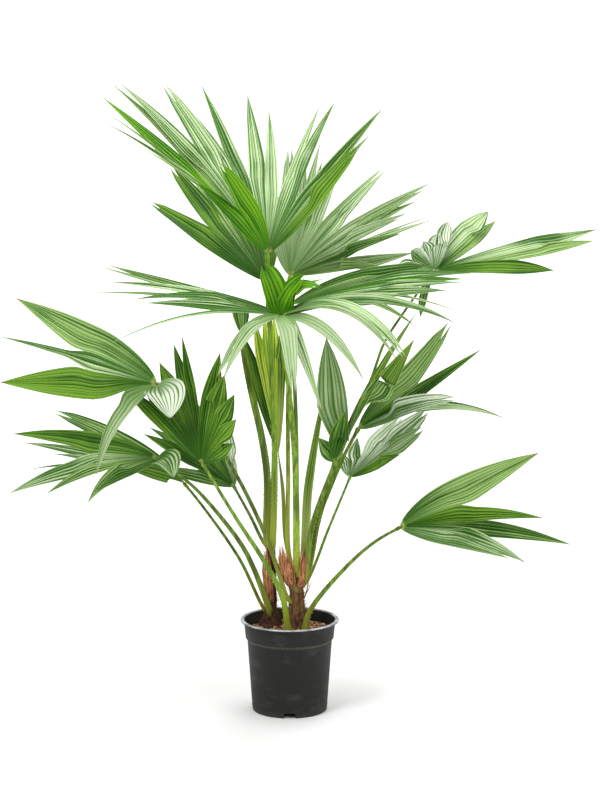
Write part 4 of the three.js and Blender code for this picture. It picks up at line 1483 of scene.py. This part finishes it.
@dataclass
class Stalk:
    """A leafstalk swept from its stem to the hub, where it swells to a small knot.

    Attributes:
        frond: Its place in the table.
        number: Seed of its spines.
        steps: Stations along it.
        sides: Corners round its section.
        flatness: Its thickness over its width.
        channel: Depth of the channel along its upper side.
        narrowing: How fast it narrows from its foot: lower is faster.
        knot: How much it swells at the hub.
        knot_place, knot_reach: Where that swelling stands before the end, and how far it spreads.
        overrun: How far the stalk runs on past the hub's middle.
        ending, young_ending: Over this length before the end a stalk narrows, and that of a young frond.
        ending_share: Share of its width that it keeps there.
        spined: Shares of the length between which the margins have spines.
        spine_length: Of the longest spines, in millimetres.
        spine_spacing: Along each margin.
    """

    frond: Frond
    number: int
    steps: int = 60
    sides: int = 16
    flatness: float = 0.55
    channel: float = 0.55
    narrowing: float = 0.7
    knot: float = 0.5
    knot_place: float = 6
    knot_reach: float = 9
    overrun: float = 4.5
    ending: float = 5.0
    young_ending: float = 110.0
    ending_share: float = 0.25
    spined: tuple[float, float] = (0.12, 0.55)
    spine_length: float = 3.6
    spine_spacing: float = 9.0

    def path(self, name: str, start: float = 0.0, end: float = 1.0) -> Piece:
        """Lays the stalk's course as a line that carries its half width and its upper side.

        Args:
            name: The line's name.
            start, end: Shares of the course between which it runs.

        Returns:
            The line.
        """
        hub = np.array(self.frond.hub, float)
        before = np.array(self.frond.stalk[-1], float)
        inside = hub - unit(before - hub) * self.overrun
        curve = smoothed([*rooted(self.frond.stalk), tuple(inside)])
        share = np.linspace(start, end, self.steps)
        along = curve.along(share)
        across = unit(np.cross(unit(np.array(self.frond.faces, float)), along))
        young = self.frond.leaf is Leaf.YOUNG
        before_end = (1 - share) * curve.length
        knot, ending = (0.0, self.young_ending) if young else (self.knot, self.ending)
        swelling = knot * np.exp(-((before_end - self.knot_place) / self.knot_reach) ** 2)
        width = mixed(self.frond.width[0], self.frond.width[1], share ** self.narrowing)
        width = width * (1 + swelling) * np.clip(self.ending_share + before_end / ending, 0, 1)
        mesh = bpy.data.meshes.new(name)
        mesh.from_pydata((curve.at(share) * MM).tolist(), [(k, k + 1) for k in range(self.steps - 1)], [])
        for label, kind, values in (("facing", "FLOAT_VECTOR", np.cross(along, across)),
                                    ("radius", "FLOAT", width / 2 * MM), (COURSE, "FLOAT", share)):
            marks = mesh.attributes.new(label, kind, "POINT").data
            marks.foreach_set("value" if kind == "FLOAT" else "vector", values.astype(np.float32).ravel())
        return placed(name, mesh)

    def piece(self, tree: Grower) -> Piece:
        """Sweeps the stalk.

        Args:
            tree: The tree that sweeps it.

        Returns:
            The stalk.
        """
        line = self.path("petiole_" + self.frond.name)
        return tree.grown(line, Sides=self.sides, Flatness=self.flatness, Channel=self.channel,
                          Material=DRESS[self.frond.green])

    def spines(self, tree: Grower) -> Piece:
        """Grows the spines of the lower half.

        Args:
            tree: The tree that grows them.

        Returns:
            The spines.
        """
        line = self.path("spines_" + self.frond.name, *self.spined)
        return tree.grown(line, Spacing=self.spine_spacing * MM, Length=self.spine_length * MM,
                          Seed=self.number, Material=DRESS[StalkGreen.SPINE])


@dataclass
class Spear:
    """The newest leaf, folded shut along its pleats.

    Attributes:
        rows: Stations along it.
        pleats: Folds round it.
        flatness: Its thickness over its width.
        stalk, folding: Share of its length that is plain stalk, and the share over which the folds begin.
        valley: Reach of a fold's valley over that of its ridge.
        twist: How far the folds wind round it, in radians.
        end, end_reach: The last share of its length, and how much of its width is left there.
        number: Chance deals its tones by it.
    """

    rows: int = 70
    pleats: int = 9
    flatness: float = 0.62
    stalk: float = 0.3
    folding: float = 0.12
    valley: float = 0.74
    twist: float = 0.5
    end: float = 0.99
    end_reach: float = 0.15
    number: float = 7.0

    def piece(self) -> Piece:
        """Lays the folded leaf.

        Returns:
            The spear.
        """
        layout = Layout("spear_leaf")
        curve = smoothed(rooted(SPEAR_PATH))
        share = np.linspace(0, 1, self.rows)
        along = curve.along(share)
        across = unit(np.cross(np.array(FRONT, float), along))
        up = np.cross(along, across)
        foot, middle, tip = SPEAR_WIDTHS
        width = np.where(share < 0.5, mixed(foot, middle, 2 * share),
                         mixed(middle, tip, np.clip(2 * share - 1, 0, 1) ** 1.5))
        corners = 2 * self.pleats
        angle = np.arange(corners) / corners * 2 * np.pi
        closed = eased((share - self.stalk) / self.folding)[:, None]
        folded = np.where(np.arange(corners) % 2, self.valley, 1.0)[None, :]
        ended = np.where(share > self.end, self.end_reach, 1.0)[:, None]
        reach = width[:, None] / 2 * mixed(1.0, folded, closed) * ended
        twist = self.twist * share[:, None]
        rows = (curve.at(share)[:, None] + across[:, None] * (np.cos(angle + twist) * reach)[..., None]
                + up[:, None] * (np.sin(angle + twist) * reach * self.flatness)[..., None])
        marks = np.stack(np.broadcast_arrays(np.arange(corners)[None, :].astype(float),
                                             mixed(0.1, 1.0, share)[:, None], self.number), -1)
        layout.tube(rows, marks)
        return layout.built([DRESS[Leaf.FOLDED]], crease=30.0, closed=True)


# ---- Stems and sheaths ----
@dataclass
class Stem:
    """A short fibrous stem with the rings of old leaf bases and a flare at its foot.

    Attributes:
        name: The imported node's name.
        foot, top: Its axis at both ends.
        height: Over the soil.
        radii: Radius at shares of the height.
        finish: Its skin.
        hair: Finish of its loose fibres.
        rings: How many old leaf bases ring it.
        density: Loose fibres to the square metre.
        sides, rows: Of its mesh.
        ledge: How much a leaf base's edge stands out, over the radius.
        flute, flutes, winding: The same of a flute, the number of flutes, and how far they wind, in radians.
        relief: Depth of its rough skin in millimetres.
        grain: Bumps of that skin in a millimetre of X, Y and Z.
        clearance: How far its foot stands above the packed soil.
        hair_length, hair_thickness: Of a loose fibre in metres, and its thickness over its length.
    """

    name: str
    foot: tuple[float, float]
    top: tuple[float, float]
    height: float
    radii: tuple[tuple[float, float], ...]
    finish: Fibre
    hair: Fibre
    rings: int
    density: float
    sides: int = 72
    rows: int = 64
    ledge: float = 0.07
    flute: float = 0.03
    flutes: int = 7
    winding: float = 9
    relief: float = 2.2
    grain: tuple[float, float, float] = (0.16, 0.16, 0.05)
    clearance: float = 0.3
    hair_length: float = 0.015
    hair_thickness: float = 0.018

    def skin(self, name: str) -> Piece:
        """Lays the stem's skin with its relief.

        Args:
            name: The piece's name.

        Returns:
            The closed skin.
        """
        share = np.linspace(0, 1, self.rows)
        shares, radii = np.array(self.radii, float).T
        angle = np.arange(self.sides) / self.sides * 2 * np.pi
        radius = np.interp(share, shares, radii)[:, None] * np.ones((1, self.sides))
        spiral = self.rings * share[:, None] + angle[None, :] / (2 * np.pi)
        flutes = np.sin(self.flutes * angle + self.winding * share[:, None])
        radius = radius * (1 + self.ledge * (spiral % 1.0 - 0.5) + self.flute * flutes)
        heights = share * self.height + SOIL_TOP + self.clearance
        axis = np.stack([mixed(self.foot[n], self.top[n], share) for n in (0, 1)], -1)
        x, y = axis[:, :1] + np.cos(angle) * radius, axis[:, 1:] + np.sin(angle) * radius
        rows = np.stack([x, y, np.broadcast_to(heights[:, None], radius.shape)], -1)
        rough = np.array([[noise.noise(Vector(spot * self.grain)) for spot in row] for row in rows])
        out = unit(rows - np.concatenate([axis, heights[:, None]], 1)[:, None])
        layout = Layout(name)
        layout.tube(rows + out * (rough * self.relief)[..., None])
        return layout.built([DRESS[self.finish]], crease=60.0, closed=True)

    def pieces(self, tree: Grower) -> tuple[Piece, Piece]:
        """Lays the stem and grows its loose fibres.

        Args:
            tree: The tree that grows them.

        Returns:
            The stem and the fibres.
        """
        fibres = tree.grown(self.skin("fibres_" + self.name), Density=self.density, Length=self.hair_length,
                            Thickness=self.hair_thickness, Rise=1.1, Seed=len(self.name),
                            Material=DRESS[self.hair])
        return self.skin("trunk_" + self.name), fibres


@dataclass
class Sheath:
    """An old leaf base torn into papery strips.

    Attributes:
        name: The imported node's name.
        path: Its course from the foot up.
        widths: At foot, middle and tip.
        faces: The side it faces.
        strips: How many strips it is torn into.
        seed: Seed of the tears.
        rows: Stations along a strip.
        thickness: In millimetres.
        overlap: Half width of a strip over the room that it has.
        narrowing, point: How late a strip narrows to its tip, and the share of its width left there.
        bulge, uneven: How far the middle stands out, over the half width, and strips out of line.
        curl, curl_from, curl_pace: Least and most curl of a strip, where it begins and how fast it grows.
        stray, stray_from: How fast a strip may drift to a side, and where that begins.
        lean: How far the outer strips turn back.
        crown: How far a strip's middle line stands out, over its half width.
    """

    name: str
    path: tuple[tuple[float, float, float], ...]
    widths: tuple[float, float, float]
    faces: tuple[float, float, float]
    strips: int
    seed: int
    rows: int = 22
    thickness: float = 0.5
    overlap: float = 0.78
    narrowing: float = 3.4
    point: float = 0.03
    bulge: float = 0.55
    uneven: float = 0.7
    curl: tuple[float, float] = (-1.0, 2.4)
    curl_from: float = 0.45
    curl_pace: float = 8
    stray: float = 3
    stray_from: float = 0.5
    lean: float = 0.5
    crown: float = 0.25

    def piece(self) -> Piece:
        """Lays the strips side by side round the sheath's bulge.

        Returns:
            The torn sheath with its thickness.
        """
        rng = np.random.default_rng(self.seed)
        layout = Layout("husk_" + self.name)
        curve = smoothed(rooted(self.path))
        foot, middle, tip = self.widths
        for strip in range(self.strips):
            at = (strip + 0.5) / self.strips * 2 - 1
            ends = np.clip(rng.uniform(0.8, 1.0) * (1.04 - 0.22 * abs(at)), 0.4, 1.0)
            share = np.linspace(0, ends, self.rows)
            along = curve.along(share)
            across = unit(np.cross(unit(np.array(self.faces, float)), along))
            up = np.cross(along, across)
            width = np.where(share < 0.5, mixed(foot, middle, 2 * share),
                             mixed(middle, max(tip, middle * 0.45), np.clip(2 * share - 1, 0, 1)))
            gone = share / ends
            half = width / self.strips * self.overlap * np.clip((1 - gone) * self.narrowing, self.point, 1)
            curl = rng.uniform(*self.curl) * np.clip(gone - self.curl_from, 0, 1) * self.curl_pace
            bulge = width / 2 * self.bulge * (1 - at * at) + rng.uniform(-self.uneven, self.uneven)
            stray = rng.uniform(-self.stray, self.stray) * np.clip(gone - self.stray_from, 0, 1)
            centre = (curve.at(share) + across * (at * width / 2)[:, None] + up * (bulge + curl)[:, None]
                      + across * stray[:, None])
            side = unit(across + up * (-self.lean * at)) * half[:, None]
            crown = up * (half * self.crown)[:, None]
            layout.grid(np.stack([centre - side, centre + crown, centre + side], 1))
        return thickened(layout.built([DRESS[Fibre.SHEATH]], crease=60.0), self.thickness)

    def splinters(self, tree: Grower) -> Piece:
        """Grows fine splinters on the sheath.

        Args:
            tree: The tree that grows them.

        Returns:
            The splinters.
        """
        base = self.piece()
        base.name = "splinters_" + self.name
        return tree.grown(base, Density=4000.0, Length=0.007, Thickness=0.04, Rise=2.2, Seed=self.seed,
                          Material=DRESS[Fibre.SPLINTER])


STEMS = (
    Stem("stem_left", (-40, 28), (-40, 26), 180, ((0, 26), (0.08, 21), (0.2, 12), (0.6, 10), (1, 8)),
         Fibre.STEM_LEFT, Fibre.HAIR_DARK, 9, 42000.0),
    Stem("stem_right", (17, 12), (13, 8), 118, ((0, 23), (0.12, 19), (0.5, 16), (1, 14)),
         Fibre.STEM_RIGHT, Fibre.HAIR_TAN, 6, 36000.0),
)
SHEATHS = (
    Sheath("sheath_left", ((-42, 18, 236), (-49, 6, 322), (-47, 4, 376)), (16, 22, 8), (-0.3, -1, 0), 8, 21),
    Sheath("sheath_middle", ((2, -9, 278), (-9, -15, 326), (-18, -12, 378)), (16, 34, 12), (-0.3, -1, 0),
           10, 22),
    Sheath("sheath_right", ((25, -12, 278), (30, -19, 336), (36, -16, 386)), (14, 18, 5), (0.3, -1, 0),
           8, 23),
    Sheath("sheath_low", ((26, 2, 236), (36, -2, 269), (43, 0, 296)), (8, 12, 3), (1, -0.4, 0), 7, 24),
)


# ---- Pot and soil ----
@dataclass
class Pot:
    """A black nursery pot: rolled lip, collar, tapering body and notches at the foot that let water out.

    Attributes:
        height, lip, collar_height: Of the pot, its rolled lip and its collar.
        rim, collar, body, foot: Radius at the lip, under it, under the collar and at the foot.
        step: How far the collar's foot stands out.
        wall, floor: Thickness of wall and floor.
        drains, drain_width, drain_height, drain_depth: The notches.
        shoulder: Radius of a notch's shoulders.
        sides: Round the pot.
        crease: Faces that meet at more than this many degrees have a sharp edge.
    """

    height: float = 198
    rim: float = 105
    lip: float = 5
    collar: float = 98
    body: float = 91
    foot: float = 80
    collar_height: float = 36
    step: float = 3
    wall: float = 2
    floor: float = 3
    drains: int = 4
    drain_width: float = 25
    drain_height: float = 11
    drain_depth: float = 16
    shoulder: float = 4
    sides: int = 192
    crease: float = 32.0

    @staticmethod
    def rounded(middle: tuple[float, float], radius: float, start: float, end: float
                ) -> list[tuple[float, float]]:
        """Rounds a corner of an outline.

        Args:
            middle, radius: Of the arc.
            start, end: Its angles in degrees.

        Returns:
            Points of the arc.
        """
        turns = np.radians(np.linspace(start, end, 7))
        return [(middle[0] + radius * math.cos(t), middle[1] + radius * math.sin(t)) for t in turns]

    def profile(self) -> list[tuple[float, float]]:
        """Draws the outline, from the middle of the underside round the wall to the middle of the floor.

        Returns:
            Radius and height of each point.
        """
        under = self.height - self.lip
        collar_foot = under - self.collar_height
        half = self.lip / 2
        return [
            # The underside, raised a little within its standing ring, and the ring's band.
            (0.0, 1.5), (self.foot - 14, 1.5), (self.foot - 12.5, 0.2),
            *self.rounded((self.foot - 3, 3), 3, -88, -8), (self.foot + 0.9, 12), (self.foot + 0.5, 13.2),
            # The tapering body and the collar that steps out over it.
            (self.body - 0.6, collar_foot - 1.6), (self.body + 0.2, collar_foot - 0.4),
            *self.rounded((self.body + self.step - 1.5, collar_foot + 1.6), 1.5, -80, 0),
            (self.collar - 0.8, under - 2.5), (self.collar + 0.2, under - 0.6),
            # The rolled lip.
            *self.rounded((self.rim - half, under + half), half, -90, 90),
            (self.collar + 1.2, self.height - 0.3),
            *self.rounded((self.collar + 0.4, self.height - 1.8), 1.5, 100, 176),
            # The inner wall and the floor.
            (self.collar - self.wall, under - 3), (self.body + self.step - self.wall, collar_foot + 2),
            (self.body - self.wall, collar_foot - 2), (self.foot - self.wall, self.floor + 3),
            (self.foot - self.wall - 3, self.floor), (0.0, self.floor),
        ]

    def piece(self) -> Piece:
        """Turns the outline round and cuts the notches.

        Returns:
            The pot.
        """
        outline = np.array(self.profile())
        angle = np.arange(self.sides) / self.sides * 2 * np.pi
        rows = np.stack([outline[:, :1] * np.cos(angle), outline[:, :1] * np.sin(angle),
                         np.broadcast_to(outline[:, 1:], (len(outline), self.sides))], -1)
        layout = Layout("nursery_pot")
        layout.grid(rows, ring=True)
        pot = layout.built([DRESS[Moulded.POT]], crease=self.crease, closed=True)
        cutters = [self.notch(k) for k in range(self.drains)]
        for cutter in cutters:
            cut = pot.modifiers.new("drain", "BOOLEAN")
            cut.operation = "DIFFERENCE"
            cut.solver = "EXACT"
            cut.object = cutter
        settled(pot)
        for cutter in cutters:
            bpy.data.objects.remove(cutter)
        softened(pot.data, self.crease)
        return pot

    def notch(self, place: int) -> Piece:
        """Lays the solid that cuts one notch, an arch with rounded shoulders.

        Args:
            place: Which notch round the foot.

        Returns:
            The cutter.
        """
        below = -5.0                           # the cutter starts under the pot and ends outside it
        outer, inner = self.foot + 12, self.foot - self.drain_depth
        half, side_top = self.drain_width / 2, self.drain_height - self.shoulder
        arch = [(-half, below), (half, below),
                *self.rounded((half - self.shoulder, side_top), self.shoulder, 0, 90),
                *self.rounded((self.shoulder - half, side_top), self.shoulder, 90, 180)]
        turn = place * 2 * math.pi / self.drains - math.pi / 2
        out = np.array([math.cos(turn), math.sin(turn), 0])
        side = np.array([-math.sin(turn), math.cos(turn), 0])
        layout = Layout("notch")
        layout.tube(np.array([[out * reach + side * x + np.array([0, 0, z]) for x, z in arch]
                              for reach in (inner, outer)]), flip=True)
        return layout.built([DRESS[Moulded.POT]], closed=True)


@dataclass
class Soil:
    """The potting mix: an uneven bed, with bark and coir chips strewn over it.

    Attributes:
        radius: Of the bed.
        top: Its height in the middle.
        fall, falling: How far it drops toward the wall, and over what distance from the wall.
        bumps, pace: Height of its bumps, and how many there are in a millimetre.
        under: Radius and height of the rings below, which leave the notches free.
        rings, sides: Of its mesh.
        chips: Size in metres, chips to the square metre and seed for each tone.
    """

    radius: float = 91.4
    top: float = 175
    fall: float = 4
    falling: float = 24
    bumps: float = 3.0
    pace: float = 0.06
    under: tuple[tuple[float, float], ...] = ((58, 16), (77.5, 24), (88.6, 155))
    rings: int = 44
    sides: int = 120
    chips: tuple[tuple[Fibre, float, float, int], ...] = (
        (Fibre.CHIP_RED, 0.0042, 26000.0, 3), (Fibre.CHIP_DARK, 0.0048, 22000.0, 5),
        (Fibre.CHIP_TAN, 0.0052, 17000.0, 8))

    def surface(self) -> np.ndarray:
        """Lays the bed's upper side.

        Returns:
            Its rings, from the wall inwards.
        """
        reach = np.linspace(1, 0.01, self.rings)[:, None] * self.radius
        angle = np.arange(self.sides) / self.sides * 2 * np.pi
        x, y = reach * np.cos(angle), reach * np.sin(angle)
        z = self.top - self.fall * eased((reach - self.radius + self.falling) / self.falling)
        bumps = [[noise.fractal(Vector((*(spot * self.pace), 0.3)), 0.8, 2.1, 4) for spot in row]
                 for row in np.stack([x, y], -1)]
        return np.stack([x, y, z + self.bumps * np.array(bumps)], -1)

    def pieces(self, tree: Grower) -> list[Piece]:
        """Lays the bed and strews the chips over it.

        Args:
            tree: The tree that strews them.

        Returns:
            The bed, and the chips of each tone.
        """
        rows = self.surface()
        bed = Layout("soil_bed")
        sunk = [np.concatenate([rows[0][:, :2] * reach / self.radius, np.full((self.sides, 1), height)], 1)
                for reach, height in self.under]
        bed.tube(np.stack([*sunk, *rows]))
        made = [bed.built([DRESS[Fibre.SOIL]], crease=70.0, closed=True)]
        for tone, size, density, seed in self.chips:
            base = Layout("chips_" + tone.name.lower())
            base.grid(rows[2:], ring=True)
            made.append(tree.grown(base.built([DRESS[tone]]), Density=density, Size=size, Seed=seed,
                                   Material=DRESS[tone]))
        return made


# ---- Studio ----
class Lamp(NamedTuple):
    """One soft lamp: its name, power in watts, side of its panel and place in metres."""

    name: str
    power: float
    side: float
    place: tuple[float, float, float]

    def hung(self, aim: tuple[float, float, float]) -> None:
        """Hangs the lamp.

        Args:
            aim: The point that it lights.
        """
        light = bpy.data.lights.new(self.name, "AREA")
        light.energy = self.power
        light.shape = "SQUARE"
        light.size = self.side
        lamp = placed(self.name, light)
        lamp.location = self.place
        lamp.rotation_euler = (Vector(aim) - Vector(self.place)).to_track_quat("-Z", "Y").to_euler()


@dataclass
class Studio:
    """A pale floor that fades to white, soft lamps and the camera.

    Attributes:
        camera: Where the camera stands, in metres.
        pitch: How far it looks down, in degrees.
        lens, sensor: Its focal length and the width of its film, in millimetres.
        floor: Half the floor's side in metres.
        fading: Distances from the plant between which the floor starts to glow, and how much it then does.
        sky: Strength of the light from all round.
        lamps: The lamps.
        aim: What they light.
    """

    camera: tuple[float, float, float] = (0.022, -5.379, 1.589)
    pitch: float = 9.7
    lens: float = 117.0
    sensor: float = 36
    floor: float = 120.0
    fading: tuple[float, float, float] = (1.4, 5.0, 0.75)
    sky: float = 0.74
    lamps: tuple[Lamp, ...] = (
        Lamp("key", 88.0, 1.5, (-2.0, -2.4, 3.6)), Lamp("fill", 26.0, 2.4, (2.8, -2.4, 1.8)),
        Lamp("top", 72.0, 1.6, (0.4, 0.5, 3.6)), Lamp("back", 22.0, 2.4, (1.0, 3.4, 2.4)))
    aim: tuple[float, float, float] = (0.0, 0.0, 0.8)

    def lay_floor(self) -> None:
        """Lays the floor, which glows more and more away from the plant."""
        pale = Surface("floor_pale", 0.9, 0.1)
        patches = pale.grain((1.5, 1.5, 1.5), 2.0)
        pale.coloured(pale.blend(patches, paint(236, 236, 236), paint(242, 242, 242)))
        away = pale.add("ShaderNodeVectorMath", {0: pale.place()}, operation="LENGTH").outputs["Value"]
        near, far, glow = self.fading
        pale.shader.inputs["Emission Color"].default_value = (1, 1, 1, 1)
        pale.tree.links.new(pale.ramp(away, near, far, 0.0, glow), pale.shader.inputs["Emission Strength"])
        side = self.floor
        mesh = bpy.data.meshes.new("floor")
        corners = [(-side, -side, 0), (side, -side, 0), (side, side, 0), (-side, side, 0)]
        mesh.from_pydata(corners, [], [(0, 1, 2, 3)])
        mesh.materials.append(pale.material)
        floor = placed("floor", mesh)

    def set_camera(self) -> None:
        """Sets up the camera."""
        data = bpy.data.cameras.new("camera")
        data.lens = self.lens
        data.sensor_width = self.sensor
        data.clip_end = 500
        camera = placed("camera", data)
        camera.location = self.camera
        camera.rotation_euler = (math.radians(90 - self.pitch), 0, 0)
        bpy.context.scene.camera = camera

    def built(self) -> None:
        """Lays the floor, hangs the lamps and sets up the camera."""
        self.lay_floor()
        world = bpy.data.worlds.new("studio")
        world.use_nodes = True
        world.node_tree.nodes["Background"].inputs[0].default_value = (1, 1, 1, 1)
        world.node_tree.nodes["Background"].inputs[1].default_value = self.sky
        bpy.context.scene.world = world
        for lamp in self.lamps:
            lamp.hung(self.aim)
        bpy.context.scene.view_settings.view_transform = "Standard"
        self.set_camera()


def mix_finishes() -> None:
    """Makes every finish once."""
    for kind in (Leaf, StalkGreen, Fibre, Moulded):
        for finish in kind:
            DRESS[finish] = finish.value.material()


def main() -> None:
    """Builds the plant, its pot and the studio."""
    logging.basicConfig(level=logging.INFO, format="%(name)s: %(message)s")
    mix_finishes()
    sweep, spine, strew, bristle = sweeper(), spiner(), strewer(), bristler()
    shown(Pot().piece(), "pot_plastic", "pot")
    for number, piece in enumerate(Soil().pieces(strew)):
        shown(piece, "potting_mix", *(["soil"] if number == 0 else []))
    for stem in STEMS:
        trunk, fibres = stem.pieces(bristle)
        shown(trunk, "stem_fibre", stem.name)
        shown(fibres, "stem_fibre")
    for sheath in SHEATHS:
        shown(sheath.piece(), "sheath_fibre", sheath.name)
        shown(sheath.splinters(bristle), "sheath_fibre")
    shown(Spear().piece(), "leafstalk", "spear")
    for number, frond in enumerate(FRONDS):
        stalk = Stalk(frond, number)
        shown(stalk.piece(sweep), "leafstalk", "stalk_" + frond.name)
        if frond.thorny:
            shown(stalk.spines(spine), "leafstalk")
        slot = "leaf_young" if frond.leaf is Leaf.YOUNG else "leaf_green"
        shown(Blade(frond, number).piece(), slot, "blade_" + frond.name)
    Studio().built()


if __name__ == "__main__":
    main()
